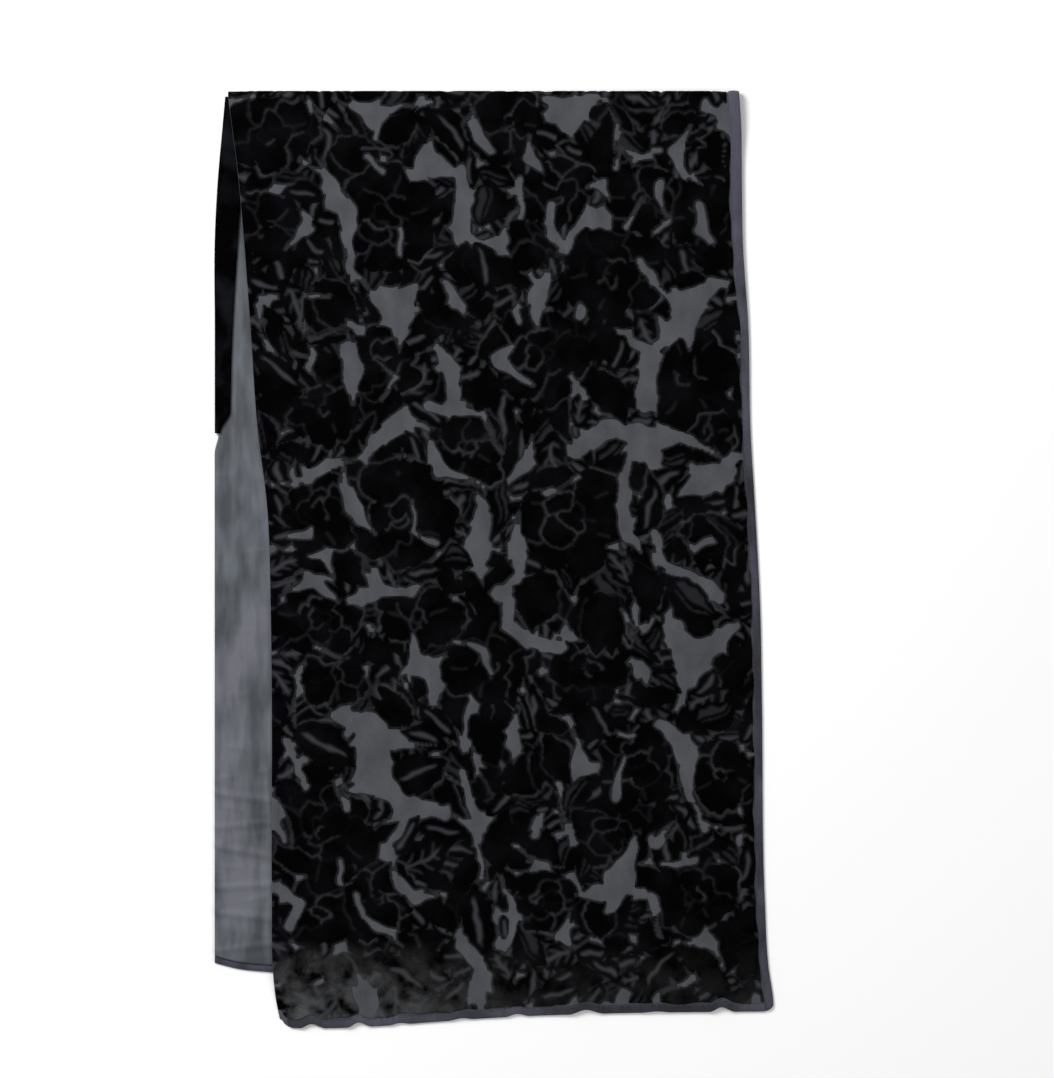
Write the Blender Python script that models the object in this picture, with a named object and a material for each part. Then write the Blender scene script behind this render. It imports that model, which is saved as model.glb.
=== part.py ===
"""Evening stole of burnt-out velvet with a grey lining, folded once across and laid flat.

Units are metres, +Z up. X runs across the cloth, +Y points to the fold, and the origin
is on the surface below the middle of the stole. "down" is the distance from the fold's
outer edge towards the two short ends.
"""
from collections import namedtuple

import bpy
import numpy as np

# Size of the folded stole
FOLDED_LENGTH = 0.950
FOLD_EDGE_Y = FOLDED_LENGTH / 2

# Cloth walls and the gap kept between pieces
VELVET_THICK = 0.0020
LINING_THICK = 0.0010
SEAM_GAP = 0.0003
HEM_WIDTH = 0.0100
HEM_THICK = 0.0026
LOWER_HEM_WIDTH = 0.0070

# Heights of the layers above the surface; a hem stands proud of its wall on both sides
HEM_PROUD = (HEM_THICK - VELVET_THICK) / 2
LINING_BOTTOM = VELVET_THICK + SEAM_GAP
LINING_TOP = LINING_BOTTOM + LINING_THICK
UPPER_BOTTOM = LINING_TOP + SEAM_GAP + HEM_PROUD
REST_BOTTOM = SEAM_GAP + HEM_PROUD

# The fold: a half ring of the same wall, then a slope down to the stack
FOLD_HEIGHT = 0.0110
FOLD_RADIUS = FOLD_HEIGHT / 2
FOLD_MID_RADIUS = FOLD_RADIUS - HEM_THICK / 2
FOLD_SLOPE_LENGTH = 0.075
ROLL_STEPS = 10

# The turned edge: a hook round the lower half's long edge, then a flap on the lining
FLAP_TOP = LINING_TOP + SEAM_GAP + VELVET_THICK
HOOK_RADIUS = FLAP_TOP / 2
HOOK_MID_RADIUS = HOOK_RADIUS - VELVET_THICK / 2
HOOK_FOOT = 0.0010
FLAP_START = FOLD_RADIUS + 0.0008
FLAP_END = 0.347
FLAP_TAPER = 0.022
FLAP_TIP = 0.25
EDGE_RETURN = 0.020

# How the upper half passes over the turned edge and sinks past the lower half
FLAP_LIFT = FLAP_TOP + 2 * SEAM_GAP + HEM_PROUD - UPPER_BOTTOM
FLAP_LIFT_END = 0.120
FLAP_LIFT_FADE = 0.040
FLAP_LIFT_REACH = 0.022
FLAP_LIFT_MARGIN = 0.003
SINK_START = 0.004
SINK_LENGTH = 0.030

# Each row is a section across the stole: where its edges lie, left and right of the middle
Section = namedtuple("Section", "down upper_left upper_right lower_left lower_right flap_right")
SECTIONS = (
    Section(0.000, -0.2697, 0.2478, -0.2718, 0.2405, -0.2560),
    Section(0.030, -0.2660, 0.2500, -0.2745, 0.2400, -0.2545),
    Section(0.100, -0.2576, 0.2512, -0.2805, 0.2385, -0.2562),
    Section(0.150, -0.2535, 0.2520, -0.2829, 0.2375, -0.2590),
    Section(0.240, -0.2468, 0.2578, -0.2829, 0.2350, -0.2645),
    Section(0.345, -0.2393, 0.2600, -0.2829, 0.2325, -0.2675),
    Section(0.420, -0.2300, 0.2645, -0.2829, 0.2305, -0.2700),
    Section(0.530, -0.2262, 0.2700, -0.2829, 0.2280, -0.2700),
    Section(0.620, -0.2252, 0.2716, -0.2829, 0.2260, -0.2700),
    Section(0.820, -0.2250, 0.2745, -0.2829, 0.2215, -0.2700),
    Section(0.890, -0.2240, 0.2785, -0.2829, 0.2200, -0.2700),
    Section(0.920, -0.2212, 0.2829, -0.2829, 0.2195, -0.2700),
    Section(0.950, -0.2150, 0.2840, -0.2829, 0.2190, -0.2700),
)

# Each row is a place across the stole: how far down the two short ends lie
ShortEnd = namedtuple("ShortEnd", "across upper_end lower_end")
SHORT_ENDS = (
    ShortEnd(-0.283, 0.9500, 0.8840),
    ShortEnd(-0.263, 0.9500, 0.8892),
    ShortEnd(-0.212, 0.9500, 0.8940),
    ShortEnd(-0.158, 0.9498, 0.8960),
    ShortEnd(-0.119, 0.9480, 0.8975),
    ShortEnd(-0.065, 0.9440, 0.8995),
    ShortEnd(-0.009, 0.9400, 0.9010),
    ShortEnd(0.047, 0.9372, 0.9030),
    ShortEnd(0.138, 0.9345, 0.9060),
    ShortEnd(0.283, 0.9330, 0.9090),
)
CORNER_RADIUS = 0.012
CORNER_CUT = 0.009

# Each row is a notch between two scallops of the upper half's end, with how high it lifts
Notch = namedtuple("Notch", "across half_width depth lift")
NOTCHES = (
    Notch(-0.186, 0.013, 0.0045, 0.0022),
    Notch(-0.138, 0.013, 0.0050, 0.0026),
    Notch(-0.096, 0.012, 0.0018, 0.0010),
    Notch(-0.033, 0.014, 0.0018, 0.0012),
    Notch(0.024, 0.013, 0.0028, 0.0015),
    Notch(0.094, 0.018, 0.0045, 0.0024),
    Notch(0.165, 0.016, 0.0012, 0.0012),
    Notch(0.231, 0.013, 0.0050, 0.0026),
)
NOTCH_REACH = 0.050
LIFT_SPREAD = 1.4

# Each row is a soft swell of the upper half, a long low mound turned on the cloth
Swell = namedtuple("Swell", "across down half_length half_width turn height")
SWELLS = (
    Swell(-0.120, 0.200, 0.110, 0.028, 1.15, 0.0030),
    Swell(0.090, 0.150, 0.130, 0.030, -1.05, 0.0024),
    Swell(0.190, 0.330, 0.120, 0.022, 1.45, 0.0034),
    Swell(-0.040, 0.400, 0.150, 0.032, -0.55, 0.0022),
    Swell(0.130, 0.520, 0.120, 0.028, 0.80, 0.0028),
    Swell(-0.150, 0.580, 0.110, 0.024, -1.20, 0.0026),
    Swell(0.030, 0.680, 0.140, 0.032, 0.35, 0.0024),
    Swell(-0.130, 0.800, 0.110, 0.024, 1.00, 0.0030),
    Swell(0.190, 0.790, 0.120, 0.024, -1.25, 0.0030),
    Swell(0.060, 0.880, 0.080, 0.022, 1.30, 0.0022),
)
SWELL_START = 0.060
SWELL_SHARPNESS = 1.6

# Each row is a wrinkle that crosses the strip of lining at the left
Wrinkle = namedtuple("Wrinkle", "down height half_width slant")
WRINKLES = (
    Wrinkle(0.716, 0.0016, 0.0060, 0.14),
    Wrinkle(0.744, 0.0012, 0.0055, -0.10),
    Wrinkle(0.771, 0.0018, 0.0065, 0.18),
    Wrinkle(0.806, 0.0014, 0.0060, -0.06),
    Wrinkle(0.836, 0.0019, 0.0070, 0.12),
    Wrinkle(0.868, 0.0012, 0.0055, -0.14),
)
WRINKLE_MIDDLE = -0.252
WRINKLE_FADE_START = -0.232
WRINKLE_FADE = 0.020

# The upper half's edge rides over all the wrinkles on one long low rise
RISE_HEIGHT = 0.0021
RISE_START = 0.675
RISE_END = 0.880
RISE_SLOPE = 0.028
RISE_FADE_START = -0.208
RISE_FADE = 0.040

# How finely the walls are divided
PANEL_COLUMNS = 26
PANEL_ROWS = 50
ROW_CROWDING = 0.055
HEM_COLUMNS = 3
HEM_ROWS = 3
END_HEM_COLUMNS = 58
STRIP_SHARE = 0.14
STRIP_COLUMNS = 5
HIDDEN_COLUMNS = 2
PLAIN_SHARE = 0.79
PLAIN_ROWS = 16
WRINKLED_ROWS = 46
LOWER_HEM_COLUMNS = 24
HOOK_STEPS = 8
FLAP_ROWS = 15
SAMPLE = 0.0005
FLAP_SAMPLE = 0.01
TURNED = (0, 3, 2, 1)

# Where the two sides of the upper half end, for laying out the columns there
UPPER_LEFT_END = 0.940
UPPER_RIGHT_END = 0.925
LOWER_END = 0.900

# Colour, roughness and metallic value of each material
VELVET_LOOK = ((0.012, 0.012, 0.014), 0.85, 0.0)
HEM_LOOK = ((0.060, 0.064, 0.078), 0.80, 0.0)
LINING_LOOK = ((0.120, 0.128, 0.142), 0.60, 0.0)


def clear_scene():
    for thing in list(bpy.data.objects):
        bpy.data.objects.remove(thing, do_unlink=True)


def smooth_through(table, key, name, at):
    """A smooth curve through one named column of a table, read at the given places."""
    places = np.array([getattr(row, key) for row in table])
    values = np.array([getattr(row, name) for row in table])
    slopes = np.gradient(values, places)
    at = np.clip(at, places[0], places[-1])
    row = np.clip(np.searchsorted(places, at, side="right") - 1, 0, len(places) - 2)
    step = places[row + 1] - places[row]
    part = (at - places[row]) / step
    rest = 1.0 - part
    return (values[row] * rest * rest * (1 + 2 * part)
            + values[row + 1] * part * part * (1 + 2 * rest)
            + step * part * rest * (slopes[row] * rest - slopes[row + 1] * part))


def side(name, down):
    return smooth_through(SECTIONS, "down", name, down)


def end(name, across):
    return smooth_through(SHORT_ENDS, "across", name, across)


def ease(value):
    """0 below 0, 1 above 1, and a smooth step between."""
    value = np.clip(value, 0.0, 1.0)
    return value * value * (3 - 2 * value)


def bump(distance, half_width):
    """1 in the middle, 0 from half_width on, as a raised cosine."""
    part = np.clip(np.abs(distance) / half_width, 0.0, 1.0)
    return 0.5 + 0.5 * np.cos(np.pi * part)


def upper_end(across):
    """The upper half's short end: its slant, its scallops and its two round corners."""
    down = end("upper_end", across)
    for notch in NOTCHES:
        down = down - notch.depth * bump(across - notch.across, notch.half_width)
    left = side("upper_left", down)
    right = side("upper_right", down)
    to_edge = np.minimum(across - left, right - across)
    part = np.clip(1 - to_edge / CORNER_RADIUS, 0.0, 1.0)
    return down - CORNER_CUT * (1 - np.sqrt(1 - part * part))


def wrinkle_height(across, down):
    """The wrinkles of the strip of lining, which die out below the upper half."""
    height = np.zeros(np.broadcast(across, down).shape)
    for wrinkle in WRINKLES:
        line = wrinkle.down + wrinkle.slant * (across - WRINKLE_MIDDLE)
        height = height + wrinkle.height * bump(down - line, wrinkle.half_width)
    return height * (1 - ease((across - WRINKLE_FADE_START) / WRINKLE_FADE))


def rise_height(across, down):
    """How much the upper half is lifted by the wrinkles below its left edge."""
    along = ease((down - RISE_START) / RISE_SLOPE) * (1 - ease((down - RISE_END) / RISE_SLOPE))
    return RISE_HEIGHT * along * (1 - ease((across - RISE_FADE_START) / RISE_FADE))


def swell_height(across, down):
    """The soft swells of the upper half and the lifts between its scallops."""
    height = np.zeros(np.broadcast(across, down).shape)
    for swell in SWELLS:
        right = across - swell.across
        below = down - swell.down
        along = right * np.cos(swell.turn) + below * np.sin(swell.turn)
        over = below * np.cos(swell.turn) - right * np.sin(swell.turn)
        reach = (along / swell.half_length) ** 2 + (over / swell.half_width) ** 2
        height = height + swell.height * np.exp(-SWELL_SHARPNESS * reach)
    height = height * ease((down - FOLD_RADIUS) / SWELL_START)
    fade = 1 - ease((end("upper_end", across) - down) / NOTCH_REACH)
    for notch in NOTCHES:
        lift = notch.lift * bump(across - notch.across, LIFT_SPREAD * notch.half_width)
        height = height + lift * fade
    return height


def flat_mid_height(across, down):
    """Middle of the upper wall where it lies on the stack, slopes off the fold or sinks."""
    past_side = ease((across - side("lower_right", down) - SINK_START) / SINK_LENGTH)
    past_end = ease((down - end("lower_end", across) - SINK_START) / SINK_LENGTH)
    on_stack = (1 - past_side) * (1 - past_end)
    base = REST_BOTTOM + (UPPER_BOTTOM - REST_BOTTOM) * on_stack
    past_flap = across - side("flap_right", down) - FLAP_LIFT_MARGIN
    over_flap = 1 - ease(past_flap / FLAP_LIFT_REACH)
    over_flap = over_flap * (1 - ease((down - FLAP_LIFT_END) / FLAP_LIFT_FADE))
    base = base + FLAP_LIFT * over_flap + swell_height(across, down) + rise_height(across, down)
    base = base + VELVET_THICK / 2
    slope = bump(down - FOLD_RADIUS, FOLD_SLOPE_LENGTH)
    return base + (FOLD_RADIUS + FOLD_MID_RADIUS - base) * slope


def upper_middle(across, path):
    """Middle surface of the upper half: a half ring for path below 0, then the flat part."""
    across, path = np.broadcast_arrays(across, path)
    angle = np.clip(-path / FOLD_MID_RADIUS, 0.0, np.pi)
    down = FOLD_RADIUS + np.maximum(path, 0.0) - FOLD_MID_RADIUS * np.sin(angle)
    ring = FOLD_RADIUS + FOLD_MID_RADIUS * np.cos(angle)
    height = np.where(path < 0, ring, flat_mid_height(across, down))
    return np.stack((across, FOLD_EDGE_Y - down, height), axis=-1)


def normals_of(middle, first, second, first_step=SAMPLE):
    """Unit normals of a middle surface, from its slopes to the side and to the end."""
    to_side = middle(first + first_step, second) - middle(first - first_step, second)
    to_end = middle(first, second + SAMPLE) - middle(first, second - SAMPLE)
    normal = np.cross(to_end, to_side)
    return normal / np.linalg.norm(normal, axis=-1, keepdims=True)


def walled_mesh(outer, inner):
    """Closed wall between two grids of points: two skins and a rim round their border."""
    rows, columns = outer.shape[:2]
    number = np.arange(rows * columns).reshape(rows, columns)
    outer_faces = grid_faces(number)
    inner_faces = grid_faces(number + number.size)[:, TURNED]
    border = np.concatenate((number[0, :-1], number[:-1, -1], number[-1, :0:-1], number[:0:-1, 0]))
    after = np.roll(border, -1)
    rim = np.stack((border, after, after + number.size, border + number.size), axis=1)
    points = np.concatenate((outer.reshape(-1, 3), inner.reshape(-1, 3)))
    return points, np.concatenate((outer_faces, inner_faces, rim))


def grid_faces(number):
    """Four-sided faces of a grid of point numbers, turned to face along its normals."""
    corners = (number[:-1, :-1], number[1:, :-1], number[1:, 1:], number[:-1, 1:])
    return np.stack([corner.ravel() for corner in corners], axis=1)


def material(name, look):
    colour, roughness, metallic = look
    made = bpy.data.materials.get(name) or bpy.data.materials.new(name)
    made.use_nodes = True
    shader = made.node_tree.nodes["Principled BSDF"]
    shader.inputs["Base Color"].default_value = (*colour, 1.0)
    shader.inputs["Roughness"].default_value = roughness
    shader.inputs["Metallic"].default_value = metallic
    made.diffuse_color = (*colour, 1.0)
    return made


def add_piece(name, points, faces, look):
    """One named object from its points and faces, shaded smooth."""
    mesh = bpy.data.meshes.new(name)
    mesh.from_pydata(points.tolist(), [], faces.tolist())
    mesh.update()
    mesh.shade_smooth()
    mesh.set_sharp_from_angle(angle=np.radians(40))
    mesh.materials.append(material(name + "_finish", look))
    piece = bpy.data.objects.new(name, mesh)
    bpy.context.scene.collection.objects.link(piece)
    return piece


def upper_wall(across, path, thick):
    """Wall of the upper half for grids of places across and along, and its thickness."""
    middle = upper_middle(across, path)
    normal = normals_of(upper_middle, across, path)
    offset = 0.5 * thick[..., None] * normal
    return walled_mesh(middle + offset, middle - offset)


def path_rows(part, end_path):
    """Places along the cloth: the ring first, then the flat part up to each column's end."""
    ring = np.linspace(-np.pi * FOLD_MID_RADIUS, 0.0, ROLL_STEPS + 1)[:-1]
    ring = np.repeat(ring[:, None], end_path.shape[-1], axis=1)
    return np.concatenate((ring, part[:, None] * end_path))


def panel_rows():
    """Fractions along the flat part, closer together where it slopes and where it ends."""
    even = np.linspace(0.0, 1.0, PANEL_ROWS + 1)
    return even - ROW_CROWDING * np.sin(2 * np.pi * even)


def path_to(down):
    """Place along the cloth for a distance down, on the flat part."""
    return down - FOLD_RADIUS


def across_at_end(part, inset):
    """Places across the short end of the upper half, inside its side hems."""
    low = side("upper_left", UPPER_LEFT_END) + inset
    high = side("upper_right", UPPER_RIGHT_END) - inset
    return low + part * (high - low)


def make_upper_layer():
    """The velvet of the upper half, inside its three hems, with the fold at the top."""
    part = np.linspace(0.0, 1.0, PANEL_COLUMNS + 1)[None, :]
    inset = HEM_WIDTH + SEAM_GAP
    end_path = path_to(end("upper_end", across_at_end(part, inset)) - inset)
    path = path_rows(panel_rows(), end_path)
    down = FOLD_RADIUS + np.maximum(path, 0.0)
    left = side("upper_left", down) + inset
    right = side("upper_right", down) - inset
    across = left + part * (right - left)
    thick = np.full(across.shape, VELVET_THICK)
    return add_piece("upper_layer", *upper_wall(across, path, thick), VELVET_LOOK)


def hem_thickness(part):
    """A hem is thin at its two edges and full in its middle, like a flat roll."""
    return HEM_THICK * (0.5 + 0.5 * np.sqrt(np.clip(1 - (2 * part - 1) ** 2, 0.0, 1.0)))


def make_upper_side_hem(name, edge, last_down, inward):
    """The hem along one long side, from under the fold to the short end."""
    part = np.linspace(0.0, 1.0, HEM_COLUMNS + 1)[None, ::inward]
    offset = part * HEM_WIDTH * inward
    inset = HEM_WIDTH + SEAM_GAP
    beside = end("upper_end", side(edge, last_down) + inset * inward) - inset
    path = path_rows(panel_rows(), np.full_like(offset, path_to(beside)))
    last = path_to(upper_end(side(edge, last_down) + offset))
    rest = np.linspace(0.0, 1.0, HEM_ROWS + 1)[1:, None]
    path = np.concatenate((path, path[-1] + rest * (last - path[-1])))
    across = side(edge, FOLD_RADIUS + np.maximum(path, 0.0)) + offset
    thick = np.repeat(hem_thickness(part), len(path), axis=0)
    return add_piece(name, *upper_wall(across, path, thick), HEM_LOOK)


def make_upper_end_hem():
    """The hem of the short end, between the two side hems, with the scallops at its edge."""
    part = np.linspace(0.0, 1.0, END_HEM_COLUMNS + 1)[None, :]
    rows = np.linspace(0.0, 1.0, HEM_ROWS + 1)[:, None]
    inset = HEM_WIDTH + SEAM_GAP
    guess = across_at_end(part, inset)
    start = end("upper_end", guess) - HEM_WIDTH
    down = start + rows * (upper_end(guess) - start)
    left = side("upper_left", down) + inset
    right = side("upper_right", down) - inset
    across = left + part * (right - left)
    thick = np.repeat(hem_thickness(rows), across.shape[1], axis=1)
    return add_piece("upper_hem_end", *upper_wall(across, path_to(down), thick), HEM_LOOK)


def hook_inset(down):
    """How far the lower half's layers stand in from their outline, to clear the hook."""
    hooked = HOOK_RADIUS + HOOK_FOOT + SEAM_GAP
    return hooked * (1 - ease((down - FLAP_END - SEAM_GAP) / EDGE_RETURN))


def lower_grid():
    """Places across and down for the lower half's layers, finer in the strip that shows."""
    strip = np.linspace(0.0, STRIP_SHARE, STRIP_COLUMNS + 1)[:-1]
    hidden = np.linspace(STRIP_SHARE, 1.0, HIDDEN_COLUMNS + 1)
    part = np.concatenate((strip, hidden))[None, :]
    plain = np.linspace(0.0, PLAIN_SHARE, PLAIN_ROWS + 1)[:-1]
    wrinkled = np.linspace(PLAIN_SHARE, 1.0, WRINKLED_ROWS + 1)
    rows = np.concatenate((plain, wrinkled))[:, None]
    start = FOLD_RADIUS + SEAM_GAP
    low = side("lower_left", LOWER_END)
    guess = low + part * (side("lower_right", LOWER_END) - low)
    last = end("lower_end", guess) - LOWER_HEM_WIDTH - SEAM_GAP
    down = start + rows * (last - start)
    left = side("lower_left", down) + hook_inset(down)
    right = side("lower_right", down)
    return left + part * (right - left), down


def flat_wall(across, down, bottom, top):
    """Wall between two heights over the same places."""
    place_y = FOLD_EDGE_Y - down
    upper = np.stack((across, place_y, np.broadcast_to(top, across.shape)), axis=-1)
    lower = np.stack((across, place_y, np.broadcast_to(bottom, across.shape)), axis=-1)
    return walled_mesh(upper, lower)


def make_lower_layer():
    """The velvet of the lower half: flat below, wrinkled above at the left."""
    across, down = lower_grid()
    top = VELVET_THICK + wrinkle_height(across, down)
    return add_piece("lower_layer", *flat_wall(across, down, 0.0, top), VELVET_LOOK)


def make_lining():
    """The grey lining of the lower half: the velvet's own points, moved up."""
    across, down = lower_grid()
    wrinkle = wrinkle_height(across, down)
    walls = flat_wall(across, down, LINING_BOTTOM + wrinkle, LINING_TOP + wrinkle)
    return add_piece("lining", *walls, LINING_LOOK)


def make_lower_end_hem():
    """The hem of the lower half's short end: velvet and lining turned in together."""
    part = np.linspace(0.0, 1.0, LOWER_HEM_COLUMNS + 1)[None, :]
    rows = np.linspace(0.0, 1.0, HEM_ROWS + 1)[:, None]
    low = side("lower_left", LOWER_END)
    across = np.repeat(low + part * (side("lower_right", LOWER_END) - low), len(rows), axis=0)
    down = end("lower_end", across) - LOWER_HEM_WIDTH * (1 - rows)
    top = LINING_TOP * hem_thickness(rows) / HEM_THICK
    return add_piece("lower_hem_end", *flat_wall(across, down, 0.0, top), HEM_LOOK)


def flap_middle(path, down):
    """Middle of the turned edge: foot, half ring round the edge, then the flap on top.

    path runs over the cut of the piece: -1 to 0 the foot, 0 to 1 the ring, 1 to 2 the flap.
    """
    path, down = np.broadcast_arrays(path, down)
    centre = side("lower_left", down) + HOOK_RADIUS
    angle = np.pi * np.clip(path, 0.0, 1.0)
    taper = ease((FLAP_END - down) / FLAP_TAPER)
    width = (side("flap_right", down) - centre) * (FLAP_TIP + (1 - FLAP_TIP) * taper)
    along_foot = np.clip(-path, 0.0, 1.0) * HOOK_FOOT
    along_flap = np.clip(path - 1.0, 0.0, 1.0) * width
    across = centre + along_foot + along_flap - HOOK_MID_RADIUS * np.sin(angle)
    height = HOOK_RADIUS - HOOK_MID_RADIUS * np.cos(angle)
    return np.stack((across, FOLD_EDGE_Y - down, height), axis=-1)


def make_turned_edge():
    """The velvet edge turned over onto the lining at the top left."""
    ring = np.linspace(0.0, 1.0, HOOK_STEPS + 1)
    path = np.concatenate(((-1.0,), ring, (1.5, 2.0)))[None, :]
    down = np.linspace(FLAP_START, FLAP_END, FLAP_ROWS + 1)[:, None]
    middle = flap_middle(path, down)
    offset = 0.5 * VELVET_THICK * normals_of(flap_middle, path, down, FLAP_SAMPLE)
    return add_piece("turned_edge", *walled_mesh(middle + offset, middle - offset), VELVET_LOOK)


def main():
    clear_scene()
    make_lower_layer()
    make_lining()
    make_lower_end_hem()
    make_turned_edge()
    make_upper_layer()
    make_upper_side_hem("upper_hem_left", "upper_left", UPPER_LEFT_END, 1)
    make_upper_side_hem("upper_hem_right", "upper_right", UPPER_RIGHT_END, -1)
    make_upper_end_hem()


main()
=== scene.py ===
"""Dresses the evening stole: burnt-out velvet on sheer ground, grey lining, rolled hems.

Units are metres, +Z up. X runs across the cloth, +Y points to the fold. "down" is the
distance from the fold's outer edge towards the two short ends.
"""
from collections import namedtuple

import bpy
import numpy as np
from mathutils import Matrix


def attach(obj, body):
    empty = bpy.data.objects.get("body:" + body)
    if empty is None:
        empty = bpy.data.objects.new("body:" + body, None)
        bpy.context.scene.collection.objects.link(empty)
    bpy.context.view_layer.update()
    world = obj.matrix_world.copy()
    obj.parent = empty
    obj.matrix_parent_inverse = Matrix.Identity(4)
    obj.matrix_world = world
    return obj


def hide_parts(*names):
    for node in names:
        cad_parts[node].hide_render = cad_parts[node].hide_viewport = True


bl_info = {
    "name": "Evening stole",
    "version": (1, 0, 0),
    "blender": (4, 5, 0),
    "location": "3D View > Sidebar > Stole",
    "description": "Makes the cloth, pile, hems and stage of a folded velvet stole",
    "category": "Object",
}

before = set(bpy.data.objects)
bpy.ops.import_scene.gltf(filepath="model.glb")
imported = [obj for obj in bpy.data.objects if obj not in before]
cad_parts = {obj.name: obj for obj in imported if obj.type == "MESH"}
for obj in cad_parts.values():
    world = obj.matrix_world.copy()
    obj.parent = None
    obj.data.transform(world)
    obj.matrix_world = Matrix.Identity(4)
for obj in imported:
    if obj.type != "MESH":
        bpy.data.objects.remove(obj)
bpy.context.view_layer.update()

MM = 0.001

# Size of the folded stole
FOLDED_LENGTH = 0.950
FOLD_EDGE_Y = FOLDED_LENGTH / 2

# Cloth walls of the solids and the gap kept between them
VELVET_THICK = 0.0020
LINING_THICK = 0.0010
SEAM_GAP = 0.0003
HEM_THICK = 0.0026
LOWER_HEM_WIDTH = 0.0070

# Heights of the layers above the surface
HEM_PROUD = (HEM_THICK - VELVET_THICK) / 2
LINING_BOTTOM = VELVET_THICK + SEAM_GAP
LINING_TOP = LINING_BOTTOM + LINING_THICK
UPPER_BOTTOM = LINING_TOP + SEAM_GAP + HEM_PROUD
REST_BOTTOM = SEAM_GAP + HEM_PROUD

# The fold: a half ring of the same wall, then a slope down to the stack
FOLD_HEIGHT = 0.0110
FOLD_RADIUS = FOLD_HEIGHT / 2
FOLD_MID_RADIUS = FOLD_RADIUS - HEM_THICK / 2
FOLD_SLOPE_LENGTH = 0.075

# The turned edge: a hook round the lower half's long edge, then a flap on the lining
FLAP_TOP = LINING_TOP + SEAM_GAP + VELVET_THICK
HOOK_RADIUS = FLAP_TOP / 2
HOOK_MID_RADIUS = HOOK_RADIUS - VELVET_THICK / 2
HOOK_FOOT = 0.0010
FLAP_START = FOLD_RADIUS + 0.0008
FLAP_END = 0.347
FLAP_TAPER = 0.022
FLAP_TIP = 0.25
EDGE_RETURN = 0.020

# How the upper half passes over the turned edge and sinks past the lower half
FLAP_LIFT = FLAP_TOP + 2 * SEAM_GAP + HEM_PROUD - UPPER_BOTTOM
FLAP_LIFT_END = 0.120
FLAP_LIFT_FADE = 0.040
FLAP_LIFT_REACH = 0.022
FLAP_LIFT_MARGIN = 0.003
SINK_START = 0.004
SINK_LENGTH = 0.030

# Each row is a section across the stole: where its edges lie, left and right of the middle
Section = namedtuple("Section", "down upper_left upper_right lower_left lower_right flap_right")
SECTIONS = (
    Section(0.000, -0.2697, 0.2478, -0.2718, 0.2405, -0.2560),
    Section(0.030, -0.2660, 0.2500, -0.2745, 0.2400, -0.2545),
    Section(0.100, -0.2576, 0.2512, -0.2805, 0.2385, -0.2562),
    Section(0.150, -0.2535, 0.2520, -0.2829, 0.2375, -0.2590),
    Section(0.240, -0.2468, 0.2578, -0.2829, 0.2350, -0.2645),
    Section(0.345, -0.2393, 0.2600, -0.2829, 0.2325, -0.2675),
    Section(0.420, -0.2300, 0.2645, -0.2829, 0.2305, -0.2700),
    Section(0.530, -0.2262, 0.2700, -0.2829, 0.2280, -0.2700),
    Section(0.620, -0.2252, 0.2716, -0.2829, 0.2260, -0.2700),
    Section(0.820, -0.2250, 0.2745, -0.2829, 0.2215, -0.2700),
    Section(0.890, -0.2240, 0.2785, -0.2829, 0.2200, -0.2700),
    Section(0.920, -0.2212, 0.2829, -0.2829, 0.2195, -0.2700),
    Section(0.950, -0.2150, 0.2840, -0.2829, 0.2190, -0.2700),
)

# Each row is a place across the stole: how far down the two short ends lie
ShortEnd = namedtuple("ShortEnd", "across upper_end lower_end")
SHORT_ENDS = (
    ShortEnd(-0.283, 0.9500, 0.8840),
    ShortEnd(-0.263, 0.9500, 0.8892),
    ShortEnd(-0.212, 0.9500, 0.8940),
    ShortEnd(-0.158, 0.9498, 0.8960),
    ShortEnd(-0.119, 0.9480, 0.8975),
    ShortEnd(-0.065, 0.9440, 0.8995),
    ShortEnd(-0.009, 0.9400, 0.9010),
    ShortEnd(0.047, 0.9372, 0.9030),
    ShortEnd(0.138, 0.9345, 0.9060),
    ShortEnd(0.283, 0.9330, 0.9090),
)
CORNER_RADIUS = 0.012
CORNER_CUT = 0.009
UPPER_LEFT_END = 0.940
UPPER_RIGHT_END = 0.925
LOWER_END = 0.900

# Each row is a notch between two scallops of the upper half's end, with how high it lifts
Notch = namedtuple("Notch", "across half_width depth lift")
NOTCHES = (
    Notch(-0.186, 0.013, 0.0045, 0.0022),
    Notch(-0.138, 0.013, 0.0050, 0.0026),
    Notch(-0.096, 0.012, 0.0018, 0.0010),
    Notch(-0.033, 0.014, 0.0018, 0.0012),
    Notch(0.024, 0.013, 0.0028, 0.0015),
    Notch(0.094, 0.018, 0.0045, 0.0024),
    Notch(0.165, 0.016, 0.0012, 0.0012),
    Notch(0.231, 0.013, 0.0050, 0.0026),
)
NOTCH_REACH = 0.050
LIFT_SPREAD = 1.4

# Each row is a soft swell or a narrower crease of the upper half, turned on the cloth
Swell = namedtuple("Swell", "across down half_length half_width turn height")
SWELLS = (
    Swell(-0.120, 0.200, 0.110, 0.028, 1.15, 0.0030),
    Swell(0.090, 0.150, 0.130, 0.030, -1.05, 0.0024),
    Swell(0.190, 0.330, 0.120, 0.022, 1.45, 0.0034),
    Swell(-0.040, 0.400, 0.150, 0.032, -0.55, 0.0022),
    Swell(0.130, 0.520, 0.120, 0.028, 0.80, 0.0028),
    Swell(-0.150, 0.580, 0.110, 0.024, -1.20, 0.0026),
    Swell(0.030, 0.680, 0.140, 0.032, 0.35, 0.0024),
    Swell(-0.130, 0.800, 0.110, 0.024, 1.00, 0.0030),
    Swell(0.190, 0.790, 0.120, 0.024, -1.25, 0.0030),
    Swell(0.060, 0.880, 0.080, 0.022, 1.30, 0.0022),
)
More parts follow.
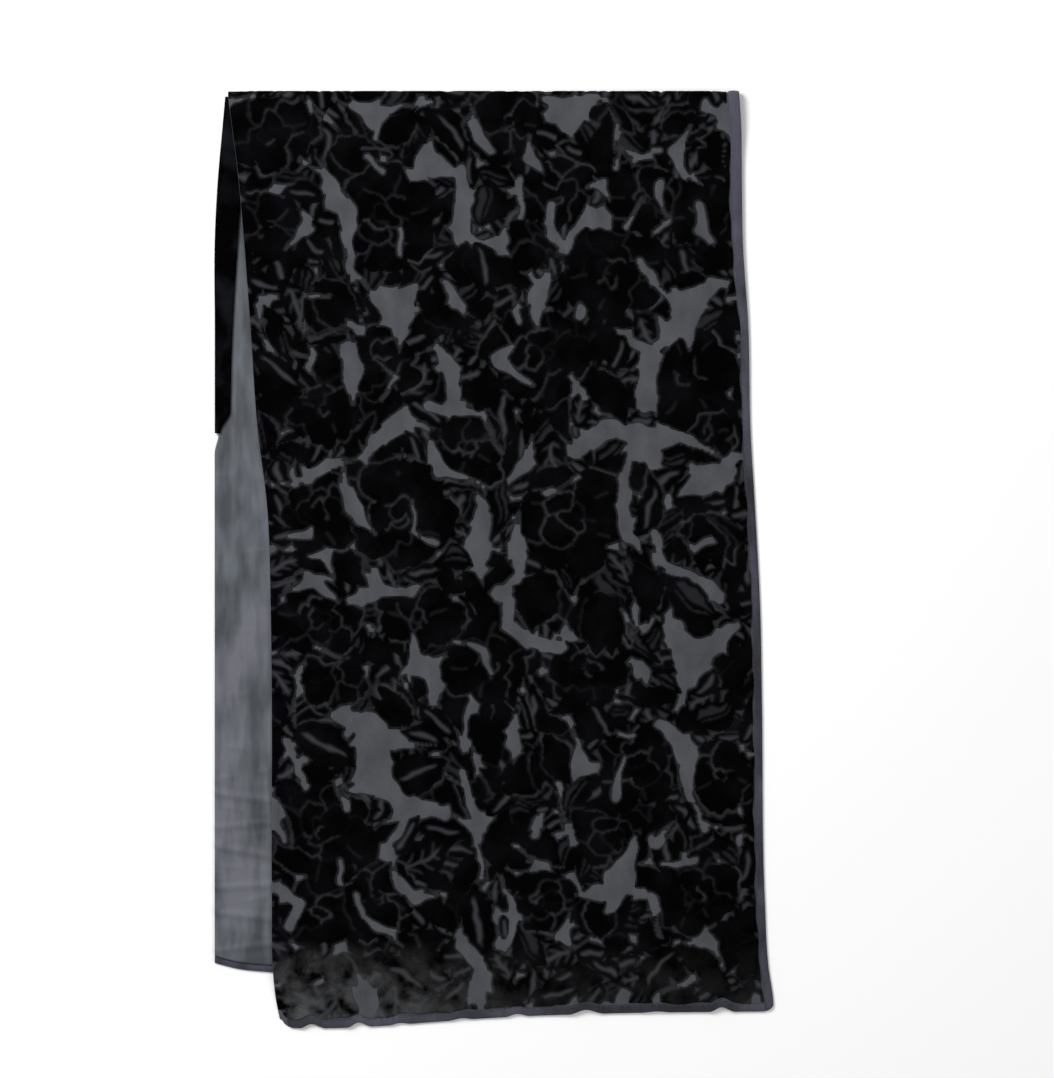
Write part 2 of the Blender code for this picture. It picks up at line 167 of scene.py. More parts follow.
CREASES = (
    Swell(-0.205, 0.110, 0.070, 0.007, 1.42, 0.0009),
    Swell(-0.060, 0.095, 0.055, 0.009, 0.30, 0.0008),
    Swell(0.165, 0.105, 0.060, 0.008, -0.85, 0.0009),
    Swell(0.030, 0.215, 0.075, 0.008, 1.10, 0.0010),
    Swell(-0.170, 0.300, 0.060, 0.007, -1.30, 0.0011),
    Swell(0.215, 0.250, 0.050, 0.006, 1.25, 0.0009),
    Swell(0.105, 0.330, 0.070, 0.009, 0.55, 0.0008),
    Swell(-0.095, 0.455, 0.060, 0.008, 0.95, 0.0011),
    Swell(0.225, 0.480, 0.075, 0.007, -1.40, 0.0012),
    Swell(0.020, 0.555, 0.060, 0.009, -0.70, 0.0009),
    Swell(-0.190, 0.660, 0.070, 0.007, 1.35, 0.0011),
    Swell(0.150, 0.655, 0.065, 0.008, 1.05, 0.0010),
    Swell(-0.040, 0.770, 0.070, 0.008, -1.15, 0.0011),
    Swell(0.100, 0.800, 0.055, 0.007, 0.45, 0.0009),
    Swell(0.235, 0.860, 0.060, 0.007, 1.30, 0.0012),
    Swell(-0.120, 0.905, 0.045, 0.008, 1.25, 0.0012),
    Swell(0.010, 0.900, 0.050, 0.007, -1.35, 0.0010),
)
SWELL_START = 0.060
SWELL_SHARPNESS = 1.6

# Each row is a wrinkle that crosses the strip of lining at the left
Wrinkle = namedtuple("Wrinkle", "down height half_width slant")
WRINKLES = (
    Wrinkle(0.716, 0.0016, 0.0060, 0.14),
    Wrinkle(0.744, 0.0012, 0.0055, -0.10),
    Wrinkle(0.771, 0.0018, 0.0065, 0.18),
    Wrinkle(0.806, 0.0014, 0.0060, -0.06),
    Wrinkle(0.836, 0.0019, 0.0070, 0.12),
    Wrinkle(0.868, 0.0012, 0.0055, -0.14),
)
FINE_WRINKLES = (
    Wrinkle(0.392, 0.0004, 0.0040, 0.08),
    Wrinkle(0.468, 0.0005, 0.0045, -0.12),
    Wrinkle(0.547, 0.0004, 0.0040, 0.10),
    Wrinkle(0.612, 0.0006, 0.0050, -0.06),
    Wrinkle(0.667, 0.0006, 0.0045, 0.16),
    Wrinkle(0.693, 0.0007, 0.0040, -0.18),
    Wrinkle(0.703, 0.0005, 0.0030, 0.05),
    Wrinkle(0.730, 0.0007, 0.0034, 0.20),
    Wrinkle(0.757, 0.0006, 0.0030, -0.22),
    Wrinkle(0.788, 0.0008, 0.0034, 0.10),
    Wrinkle(0.797, 0.0004, 0.0026, -0.08),
    Wrinkle(0.821, 0.0008, 0.0036, -0.20),
    Wrinkle(0.852, 0.0007, 0.0032, 0.22),
    Wrinkle(0.879, 0.0005, 0.0028, -0.04),
)
WRINKLE_MIDDLE = -0.252
WRINKLE_FADE_START = -0.232
WRINKLE_FADE = 0.020

# The upper half's edge rides over all the wrinkles on one long low rise
RISE_HEIGHT = 0.0021
RISE_START = 0.675
RISE_END = 0.880
RISE_SLOPE = 0.028
RISE_FADE_START = -0.208
RISE_FADE = 0.040

# The photograph's pixel column that is the middle of the cloth, the row of the fold, and
# what a pixel there measures on the cloth
MIDDLE_COLUMN = 494
FOLD_ROW = 91
METRES_PER_PIXEL = 0.001014

# Flowers of the velvet, where they were judged on the photograph, in its pixels:
# kind, column and row of the middle, reach, and turn in degrees
Flower = namedtuple("Flower", "kind column row reach turn")
FLOWERS = (
    Flower("rose", 269, 130, 38, 20), Flower("rose", 385, 214, 50, 75),
    Flower("open", 506, 120, 36, 10), Flower("rose", 556, 188, 35, 130),
    Flower("open", 640, 192, 34, 50), Flower("rose", 706, 208, 37, -40),
    Flower("rose", 612, 266, 46, 15), Flower("open", 268, 222, 34, 80),
    Flower("bud", 326, 284, 36, -70), Flower("rose", 381, 360, 35, 200),
    Flower("open", 325, 408, 33, 30), Flower("rose", 537, 350, 47, 100),
    Flower("open", 469, 442, 35, -20), Flower("rose", 690, 372, 44, 60),
    Flower("rose", 319, 506, 35, -60), Flower("rose", 397, 507, 52, 35),
    Flower("rose", 572, 514, 50, 160), Flower("bud", 600, 598, 40, -95),
    Flower("rose", 319, 614, 39, 110), Flower("open", 420, 614, 38, 45),
    Flower("open", 335, 668, 34, 5), Flower("rose", 487, 655, 41, 80),
    Flower("rose", 588, 664, 36, -15), Flower("bud", 405, 712, 30, 130),
    Flower("bud", 551, 738, 38, -65), Flower("bud", 512, 782, 30, 20),
    Flower("rose", 640, 757, 43, 45), Flower("rose", 322, 826, 50, -30),
    Flower("rose", 612, 832, 36, 140), Flower("rose", 544, 893, 29, 0),
    Flower("open", 380, 893, 36, 65), Flower("rose", 694, 888, 40, -50),
    Flower("bud", 601, 922, 38, 90), Flower("rose", 322, 905, 35, 170),
    Flower("bud", 704, 522, 36, -90), Flower("open", 706, 430, 27, 25),
    Flower("bud", 344, 142, 36, -50), Flower("open", 722, 772, 32, 75),
    Flower("bud", 668, 122, 32, 15),
)
BIG_ROSE_REACH = 40

# Leaves of the velvet, judged in the same way: column and row of the middle, length, width
# and turn
Leaf = namedtuple("Leaf", "column row length width turn")
LEAVES = (
    Leaf(450, 130, 60, 30, -60), Leaf(600, 140, 66, 32, 62), Leaf(716, 150, 54, 32, -70),
    Leaf(490, 196, 46, 34, 80), Leaf(294, 304, 60, 28, -72), Leaf(444, 306, 62, 26, -28),
    Leaf(481, 262, 50, 30, -82), Leaf(281, 366, 62, 26, -35), Leaf(606, 391, 66, 30, -55),
    Leaf(719, 338, 62, 26, 74), Leaf(494, 497, 74, 22, -86), Leaf(556, 460, 62, 28, -76),
    Leaf(604, 470, 58, 30, 46), Leaf(648, 500, 62, 22, 78), Leaf(666, 476, 54, 20, 40),
    Leaf(537, 597, 62, 44, -104), Leaf(644, 585, 58, 34, -80), Leaf(694, 597, 58, 30, -36),
    Leaf(287, 560, 46, 28, 20), Leaf(350, 560, 48, 24, -52), Leaf(325, 741, 64, 36, -32),
    Leaf(419, 765, 58, 40, 18), Leaf(487, 735, 54, 32, -62), Leaf(719, 800, 58, 28, -42),
    Leaf(581, 791, 52, 24, 58), Leaf(425, 850, 66, 40, 28), Leaf(500, 835, 62, 30, 80),
    Leaf(481, 916, 72, 30, -74), Leaf(662, 962, 62, 30, 58), Leaf(655, 920, 58, 24, 60),
    Leaf(281, 840, 52, 24, 84), Leaf(531, 940, 50, 28, -62), Leaf(269, 940, 58, 30, -20),
    Leaf(350, 960, 58, 30, 12), Leaf(409, 972, 56, 28, -32), Leaf(560, 985, 52, 26, 14),
    Leaf(704, 962, 52, 26, -72), Leaf(738, 662, 54, 24, 56), Leaf(331, 332, 52, 24, -8),
    Leaf(419, 372, 52, 28, 68), Leaf(262, 176, 48, 24, 75), Leaf(430, 250, 50, 22, 20),
    Leaf(506, 410, 66, 26, 84), Leaf(562, 410, 60, 24, -80), Leaf(737, 560, 50, 22, 80),
    Leaf(640, 640, 52, 24, -48), Leaf(281, 680, 50, 24, -60), Leaf(456, 700, 50, 22, -86),
    Leaf(360, 790, 46, 22, -20), Leaf(744, 860, 52, 24, 70), Leaf(612, 116, 46, 22, -20),
    Leaf(400, 120, 50, 24, 40), Leaf(744, 250, 50, 24, 84), Leaf(650, 330, 44, 20, -60),
    Leaf(360, 430, 46, 22, 60),
)

# Stems, judged in the same way: start, the point that bends them and end, in the
# photograph's pixels, and the width in millimetres
Stem = namedtuple("Stem", "column row bend_column bend_row end_column end_row width")
STEMS = (
    Stem(456, 779, 500, 850, 468, 904, 5),
    Stem(525, 690, 545, 760, 570, 829, 5),
    Stem(598, 413, 650, 402, 700, 414, 4),
    Stem(281, 722, 300, 700, 326, 690, 5),
    Stem(675, 740, 690, 800, 688, 842, 4),
    Stem(430, 470, 520, 480, 500, 560, 5),
    Stem(560, 300, 560, 330, 540, 400, 4),
    Stem(340, 180, 360, 240, 330, 300, 5),
    Stem(620, 690, 660, 700, 690, 720, 5),
    Stem(300, 430, 290, 470, 310, 510, 5),
    Stem(650, 540, 690, 560, 724, 600, 5),
    Stem(470, 600, 450, 640, 486, 690, 5),
    Stem(366, 700, 350, 730, 330, 760, 4),
    Stem(420, 290, 400, 330, 381, 370, 4),
    Stem(690, 130, 680, 170, 700, 190, 4),
)

# Openings between the sprays where the ground shows, judged in the same way. Each is a soft
# stroke through its points: column and row in pixels, and half its width in millimetres
OPENINGS = (
    ((352, 98, 4), (375, 113, 11), (400, 103, 6), (432, 97, 3)),
    ((308, 96, 3), (325, 110, 5), (337, 128, 4)), ((362, 143, 3), (385, 143, 3)),
    ((366, 152, 5), (384, 168, 5)), ((432, 122, 2), (426, 160, 10), (452, 170, 5)),
    ((467, 95, 4), (480, 130, 8), (492, 144, 5)), ((460, 166, 8), (460, 200, 10), (459, 232, 8)),
    ((462, 225, 5), (482, 238, 5), (503, 240, 8), (507, 222, 3)), ((518, 178, 5), (518, 210, 4)),
    ((532, 134, 3), (528, 155, 8), (543, 168, 3)),
    ((302, 155, 3), (322, 166, 6), (336, 190, 8), (347, 210, 12), (349, 240, 7), (351, 265, 8)),
    ((351, 265, 7), (372, 283, 5), (392, 296, 14), (402, 310, 12), (401, 345, 2)),
    ((392, 296, 14), (414, 282, 7)), ((397, 225, 4), (398, 248, 4)),
    ((303, 207, 3), (306, 220, 8), (286, 246, 3)),
    ((266, 278, 3), (258, 300, 7), (262, 330, 4), (275, 350, 4)), ((305, 292, 4), (331, 292, 4)),
    ((306, 312, 3), (316, 334, 8), (344, 324, 6), (349, 366, 12), (351, 400, 5)),
    ((294, 345, 6), (312, 355, 5)), ((447, 278, 4), (463, 300, 5), (486, 330, 2)),
    ((511, 340, 4), (500, 354, 9), (531, 378, 3)), ((378, 352, 2), (399, 374, 4), (383, 396, 3)),
    ((440, 346, 6), (452, 372, 10), (455, 400, 6)), ((551, 93, 8), (570, 104, 17), (567, 138, 2)),
    ((595, 93, 6), (570, 104, 14)), ((606, 97, 5), (619, 128, 9), (614, 162, 4)),
    ((619, 140, 5), (640, 153, 6), (658, 147, 4)),
    ((690, 120, 3), (674, 148, 8), (684, 168, 7), (704, 177, 2)),
    ((706, 100, 6), (722, 108, 8), (726, 160, 6)), ((590, 181, 3), (604, 180, 7), (609, 196, 2)),
    ((641, 190, 3), (625, 218, 5)), ((658, 182, 7), (662, 200, 4), (676, 236, 3)),
    ((700, 200, 5), (700, 222, 6), (712, 242, 4)),
    ((550, 200, 6), (550, 228, 8), (566, 242, 5), (592, 210, 7), (608, 222, 5)),
    ((551, 262, 4), (541, 290, 12), (538, 322, 3)), ((506, 283, 5), (521, 314, 5)),
    ((578, 303, 6), (578, 307, 6)), ((640, 256, 5), (665, 290, 7), (683, 302, 20), (690, 345, 3)),
    ((683, 300, 20), (712, 282, 7)),
    ((614, 326, 3), (634, 332, 7), (651, 345, 9), (646, 400, 12)),
    ((651, 345, 9), (672, 322, 10)), ((574, 372, 4), (588, 392, 6)),
    ((430, 399, 7), (448, 403, 8), (484, 411, 5), (500, 446, 4)),
    ((406, 402, 3), (389, 426, 11), (364, 446, 8), (358, 412, 3)), ((404, 414, 6), (428, 424, 3)),
    ((432, 438, 5), (442, 466, 10), (476, 478, 4)),
    ((282, 475, 6), (310, 472, 7), (330, 460, 9), (358, 455, 3)),
    ((344, 462, 6), (351, 500, 9), (374, 530, 3)), ((288, 530, 3), (312, 528, 6)),
    ((312, 548, 3), (326, 548, 8), (334, 568, 3)), ((284, 590, 3), (314, 578, 9), (340, 594, 2)),
    ((377, 562, 4), (376, 584, 11), (352, 590, 6)),
    ((376, 584, 10), (410, 588, 7), (426, 574, 3)), ((366, 600, 4), (376, 630, 2)),
    ((412, 497, 3), (416, 522, 4), (434, 536, 4)), ((482, 494, 3), (480, 540, 14), (478, 580, 2)),
    ((513, 508, 2), (519, 552, 9), (508, 590, 7), (506, 620, 6), (530, 638, 8), (560, 642, 8)),
    ((566, 606, 2), (566, 626, 9), (582, 632, 3)), ((314, 642, 4), (350, 652, 4)),
    ((412, 628, 4), (414, 656, 12), (436, 666, 9), (436, 702, 2)),
    ((414, 656, 10), (395, 672, 4)), ((454, 638, 4), (482, 642, 5), (492, 664, 4)),
    ((299, 664, 5), (294, 712, 5)), ((533, 428, 4), (532, 456, 9), (507, 474, 5)),
    ((562, 434, 4), (578, 443, 9), (604, 424, 8)),
    ((604, 422, 8), (640, 432, 14), (680, 430, 8), (722, 455, 3)),
    ((626, 450, 9), (624, 500, 8), (628, 532, 8), (642, 545, 3)), ((655, 450, 10), (653, 470, 6)),
    ((673, 490, 3), (700, 476, 16), (730, 466, 12)), ((548, 489, 5), (576, 468, 4)),
    ((651, 524, 5), (662, 556, 8), (690, 572, 8), (718, 592, 9)),
    ((674, 529, 3), (694, 545, 5), (714, 532, 5)), ((627, 556, 5), (634, 572, 5), (632, 594, 2)),
    ((620, 605, 3), (630, 628, 8), (656, 612, 3)), ((634, 656, 5), (656, 680, 5)),
    ((674, 617, 6), (688, 650, 18), (722, 630, 9), (738, 622, 5)),
    ((688, 650, 16), (690, 676, 10)),
    ((336, 706, 8), (372, 726, 18), (376, 770, 22), (348, 786, 8)),
    ((376, 770, 20), (400, 790, 10)), ((398, 738, 7), (436, 738, 4)),
    ((398, 800, 8), (446, 808, 10)),
    ((402, 812, 7), (390, 838, 4), (392, 870, 5), (412, 894, 9), (446, 886, 4)),
    ((470, 702, 6), (462, 742, 7)), ((462, 766, 8), (472, 800, 8), (480, 838, 7), (478, 874, 6)),
    ((480, 815, 6), (497, 815, 5)), ((512, 720, 5), (516, 744, 7)),
    ((286, 738, 6), (298, 764, 8), (308, 782, 5)), ((334, 768, 4), (346, 802, 6)),
    ((272, 800, 9), (284, 832, 9)), ((341, 858, 4), (342, 876, 4)),
    ((278, 886, 6), (298, 896, 8), (292, 918, 7)),
    ((356, 890, 5), (362, 910, 5), (396, 928, 6), (405, 944, 4)),
    ((461, 908, 3), (460, 938, 9), (484, 962, 9), (482, 1000, 8)),
    ((337, 944, 6), (354, 962, 7), (366, 990, 12), (368, 1010, 8)),
    ((508, 884, 5), (516, 914, 7), (500, 950, 4)), ((566, 712, 4), (578, 738, 5), (582, 764, 11)),
    ((558, 780, 6), (574, 840, 8)), ((604, 727, 4), (636, 727, 4)),
    ((655, 716, 6), (684, 744, 13), (688, 776, 9), (704, 820, 7)), ((624, 754, 4), (612, 788, 6)),
    ((657, 836, 7), (676, 816, 4)), ((534, 826, 8), (542, 810, 3)),
    ((532, 852, 5), (560, 862, 4)), ((662, 860, 4), (694, 856, 6)),
    ((742, 830, 5), (742, 872, 5)), ((636, 832, 4), (620, 872, 17), (612, 902, 8)),
    ((574, 890, 3), (600, 886, 9), (644, 886, 5)), ((652, 890, 6), (658, 930, 8)),
    ((672, 935, 4), (708, 938, 9), (724, 962, 3)), ((566, 908, 3), (560, 932, 9), (572, 946, 4)),
    ((576, 990, 5), (576, 998, 7)), ((620, 988, 6), (620, 998, 8)),
    ((656, 990, 6), (694, 970, 5)),
)

# How the pattern is drawn and cut
PATTERN_PITCH = 0.0015
PATTERN_LEFT = -0.276
PATTERN_RIGHT = 0.288
LINE_WIDTH = 0.0028
PETAL_LINE = 0.0036
SEAM_LINE = 0.0046
CLOSED_GAP = 0.0007
SLIT_BURN = 0.8
BARED = -0.0003
ROOM_AROUND = 0.020
OPENING_WIDTH = 1.10
SOFT_EDGE = 0.0013
SOFT_EDGE_SHARE = 0.50
OPEN_DEPTH = 0.55
SWAY = 0.0013
FLOWER_GROWTH = 1.12
LEAF_GROWTH = 1.08
EDGE_ROUNDING = 0.0016
EDGE_SHARE = 0.84
LINE_DEPTH = 0.75
LINE_KEPT, LINE_SPREAD = 0.45, 0.55
LINE_SHARPNESS = 1.7
SINK_IN_GROUND = 0.0003
GROUND_WALL = 0.0006

# Small sprigs that fill what is left, shorter as the tries go on
FILLER_SEED = 7
FILLER_TRIES = 16000
LONG_SPRIG_TRIES = 1100
TARGET_COVER = 0.93
SPRIG_STAGES = (0.2, 0.4, 0.8)
SPRIG_LENGTHS = (0.054, 0.036, 0.024)
SPRIG_BARE = -0.0010
SPRIG_ROOM = 0.0012

# How much of the hems shows, and where the pile ends beside them
HEM_SHOWS = 0.0076
TOP_HEM_WIDER = 0.45
TOP_HEM_START = 0.10
TOP_HEM_FADE = 0.18
LEFT_PILE_GAP = 0.0003
SIDE_PILE_GAP = 0.0004
SIDE_PILE_UNEVEN = 0.0022
END_PILE_GAP = 0.0006
END_PILE_UNEVEN = 0.0024
FOLD_PILE_GAP = 0.0008


# Curves and heights of the cloth

def smooth_through(table, key, name, at):
    """A smooth curve through one named column of a table, read at the given places."""
    places = np.array([getattr(row, key) for row in table])
    values = np.array([getattr(row, name) for row in table])
    slopes = np.gradient(values, places)
    at = np.clip(at, places[0], places[-1])
    row = np.clip(np.searchsorted(places, at, side="right") - 1, 0, len(places) - 2)
    step = places[row + 1] - places[row]
    part = (at - places[row]) / step
    rest = 1.0 - part
    return (values[row] * rest * rest * (1 + 2 * part)
            + values[row + 1] * part * part * (1 + 2 * rest)
            + step * part * rest * (slopes[row] * rest - slopes[row + 1] * part))


def side(name, down):
    """One of the long edges, as a place across the stole, at each place down."""
    return smooth_through(SECTIONS, "down", name, down)


def end(name, across):
    """One of the short ends, as a place down the stole, at each place across."""
    return smooth_through(SHORT_ENDS, "across", name, across)


def ease(value):
    """0 below 0, 1 above 1, and a smooth step between."""
    value = np.clip(value, 0.0, 1.0)
    return value * value * (3 - 2 * value)


def bump(distance, half_width):
    """1 in the middle, 0 from half_width on, as a raised cosine."""
    part = np.clip(np.abs(distance) / half_width, 0.0, 1.0)
    return 0.5 + 0.5 * np.cos(np.pi * part)


def upper_end(across):
    """The upper half's short end: its slant, its scallops and its two round corners."""
    down = end("upper_end", across)
    for notch in NOTCHES:
        down = down - notch.depth * bump(across - notch.across, notch.half_width)
    left = side("upper_left", down)
    right = side("upper_right", down)
    to_edge = np.minimum(across - left, right - across)
    part = np.clip(1 - to_edge / CORNER_RADIUS, 0.0, 1.0)
    return down - CORNER_CUT * (1 - np.sqrt(1 - part * part))


def between_sides(part, inset, left_down, right_down):
    """Places across the upper half: part 0 is its left side, 1 its right, both inset."""
    left = side("upper_left", left_down) + inset
    right = side("upper_right", right_down) - inset
    return left + part * (right - left)


def wrinkle_height(across, down, wrinkles=WRINKLES):
    """The wrinkles of the strip of lining, which die out below the upper half."""
    height = np.zeros(np.broadcast(across, down).shape)
    for wrinkle in wrinkles:
        line = wrinkle.down + wrinkle.slant * (across - WRINKLE_MIDDLE)
        height = height + wrinkle.height * bump(down - line, wrinkle.half_width)
    return height * (1 - ease((across - WRINKLE_FADE_START) / WRINKLE_FADE))


def rise_height(across, down):
    """How much the upper half is lifted by the wrinkles below its left edge."""
    along = ease((down - RISE_START) / RISE_SLOPE) * (1 - ease((down - RISE_END) / RISE_SLOPE))
    return RISE_HEIGHT * along * (1 - ease((across - RISE_FADE_START) / RISE_FADE))


def mound_height(across, down, mounds):
    """A sum of long mounds: each falls off as a bell along and across its own turned axis."""
    height = np.zeros(np.broadcast(across, down).shape)
    for mound in mounds:
        right = across - mound.across
        below = down - mound.down
        along = right * np.cos(mound.turn) + below * np.sin(mound.turn)
        over = below * np.cos(mound.turn) - right * np.sin(mound.turn)
        reach = (along / mound.half_length) ** 2 + (over / mound.half_width) ** 2
        height = height + mound.height * np.exp(-SWELL_SHARPNESS * reach)
    return height


def swell_height(across, down):
    """Swells, creases and the lifts between the scallops of the upper half."""
    height = mound_height(across, down, SWELLS) + mound_height(across, down, CREASES)
    height = height * ease((down - FOLD_RADIUS) / SWELL_START)
    fade = 1 - ease((end("upper_end", across) - down) / NOTCH_REACH)
    for notch in NOTCHES:
        lift = notch.lift * bump(across - notch.across, LIFT_SPREAD * notch.half_width)
        height = height + lift * fade
    return height


def flat_mid_height(across, down):
    """Middle of the upper wall where it lies on the stack, slopes off the fold or sinks."""
    past_side = ease((across - side("lower_right", down) - SINK_START) / SINK_LENGTH)
    past_end = ease((down - end("lower_end", across) - SINK_START) / SINK_LENGTH)
    on_stack = (1 - past_side) * (1 - past_end)
    base = REST_BOTTOM + (UPPER_BOTTOM - REST_BOTTOM) * on_stack
    past_flap = across - side("flap_right", down) - FLAP_LIFT_MARGIN
    over_flap = 1 - ease(past_flap / FLAP_LIFT_REACH)
    over_flap = over_flap * (1 - ease((down - FLAP_LIFT_END) / FLAP_LIFT_FADE))
    base = base + FLAP_LIFT * over_flap + swell_height(across, down) + rise_height(across, down)
    base = base + VELVET_THICK / 2
    slope = bump(down - FOLD_RADIUS, FOLD_SLOPE_LENGTH)
    return base + (FOLD_RADIUS + FOLD_MID_RADIUS - base) * slope


def upper_middle(across, path):
    """Middle surface of the upper half: a half ring for path below 0, then the flat part."""
    across, path = np.broadcast_arrays(across, path)
    angle = np.clip(-path / FOLD_MID_RADIUS, 0.0, np.pi)
    down = FOLD_RADIUS + np.maximum(path, 0.0) - FOLD_MID_RADIUS * np.sin(angle)
    ring = FOLD_RADIUS + FOLD_MID_RADIUS * np.cos(angle)
    height = np.where(path < 0, ring, flat_mid_height(across, down))
    return np.stack((across, FOLD_EDGE_Y - down, height), axis=-1)


SAMPLE = 0.0005
FLAP_SAMPLE = 0.01


def normals_of(middle, first, second, first_step=SAMPLE):
    """Unit normals of a middle surface, from its slopes to the side and to the end."""
    to_side = middle(first + first_step, second) - middle(first - first_step, second)
    to_end = middle(first, second + SAMPLE) - middle(first, second - SAMPLE)
    normal = np.cross(to_end, to_side)
    return normal / np.linalg.norm(normal, axis=-1, keepdims=True)


def hem_round(part):
    """A hem is thin at its two edges and full in its middle, like a flat roll."""
    return 0.5 + 0.5 * np.sqrt(np.clip(1 - (2 * part - 1) ** 2, 0.0, 1.0))


# Meshes

TURNED = (0, 3, 2, 1)


def grid_faces(number):
    """Four-sided faces of a grid of point numbers, turned to face along its normals."""
    corners = (number[:-1, :-1], number[1:, :-1], number[1:, 1:], number[:-1, 1:])
    return np.stack([corner.ravel() for corner in corners], axis=1)


def walled_mesh(outer, inner):
    """Closed wall between two grids of points: two skins and a rim round their border."""
    rows, columns = outer.shape[:2]
    number = np.arange(rows * columns).reshape(rows, columns)
    outer_faces = grid_faces(number)
    inner_faces = grid_faces(number + number.size)[:, TURNED]
    border = np.concatenate((number[0, :-1], number[:-1, -1], number[-1, :0:-1], number[:0:-1, 0]))
    after = np.roll(border, -1)
    rim = np.stack((border, after, after + number.size, border + number.size), axis=1)
    points = np.concatenate((outer.reshape(-1, 3), inner.reshape(-1, 3)))
    return points, np.concatenate((outer_faces, inner_faces, rim))


def add_piece(name, points, faces, finish, places=None, replaces=()):
    """One named piece from whole arrays; places are each point's spot on the flat cloth."""
    mesh = bpy.data.meshes.new(name)
    faces = np.asarray(faces, dtype=np.int32)
    corners = faces.shape[1]
    mesh.vertices.add(len(points))
    mesh.vertices.foreach_set("co", np.asarray(points, dtype=np.float32).ravel())
    mesh.loops.add(faces.size)
    mesh.loops.foreach_set("vertex_index", faces.ravel())
    mesh.polygons.add(len(faces))
    mesh.polygons.foreach_set("loop_start", np.arange(len(faces), dtype=np.int32) * corners)
    mesh.update(calc_edges=True)
    mesh.validate()
    if places is not None:
        layer = mesh.uv_layers.new(name="cloth")
        layer.data.foreach_set("uv", np.asarray(places, np.float32)[faces.ravel()].ravel())
    mesh.shade_smooth()
    mesh.materials.append(finish)
    piece = bpy.data.objects.new(name, mesh)
    bpy.context.scene.collection.objects.link(piece)
    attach(piece, "root")
    if replaces:
        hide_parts(*replaces)
    return piece


UV_ACROSS = 0.300
UV_DOWN = 0.020


def cloth_places(across, path):
    """Where points lie on the flat cloth, moved so that both numbers stay above 0."""
    across, path = np.broadcast_arrays(across, path)
    return np.stack((across + UV_ACROSS, path + UV_DOWN), axis=-1).reshape(-1, 2)


# The burnt-out pattern

ROSE, BIG_ROSE, BLOSSOM, LEAF, SPRIG, SMALL_SPRIG, STEM = range(1, 8)
# For each kind of shape: how far it reaches into the openings, and how faint and how plain
# the burnt seam with what lies in front of it can be
LAYING = {
    ROSE: (0.0015, 0.00, 0.90), BIG_ROSE: (0.0015, 0.00, 0.90), BLOSSOM: (0.0020, 0.10, 1.00),
    LEAF: (0.0065, 0.50, 1.10), STEM: (0.0040, 0.50, 1.10), SPRIG: (0.0040, -0.60, 1.00),
    SMALL_SPRIG: (0.0010, -1.80, 0.50),
}


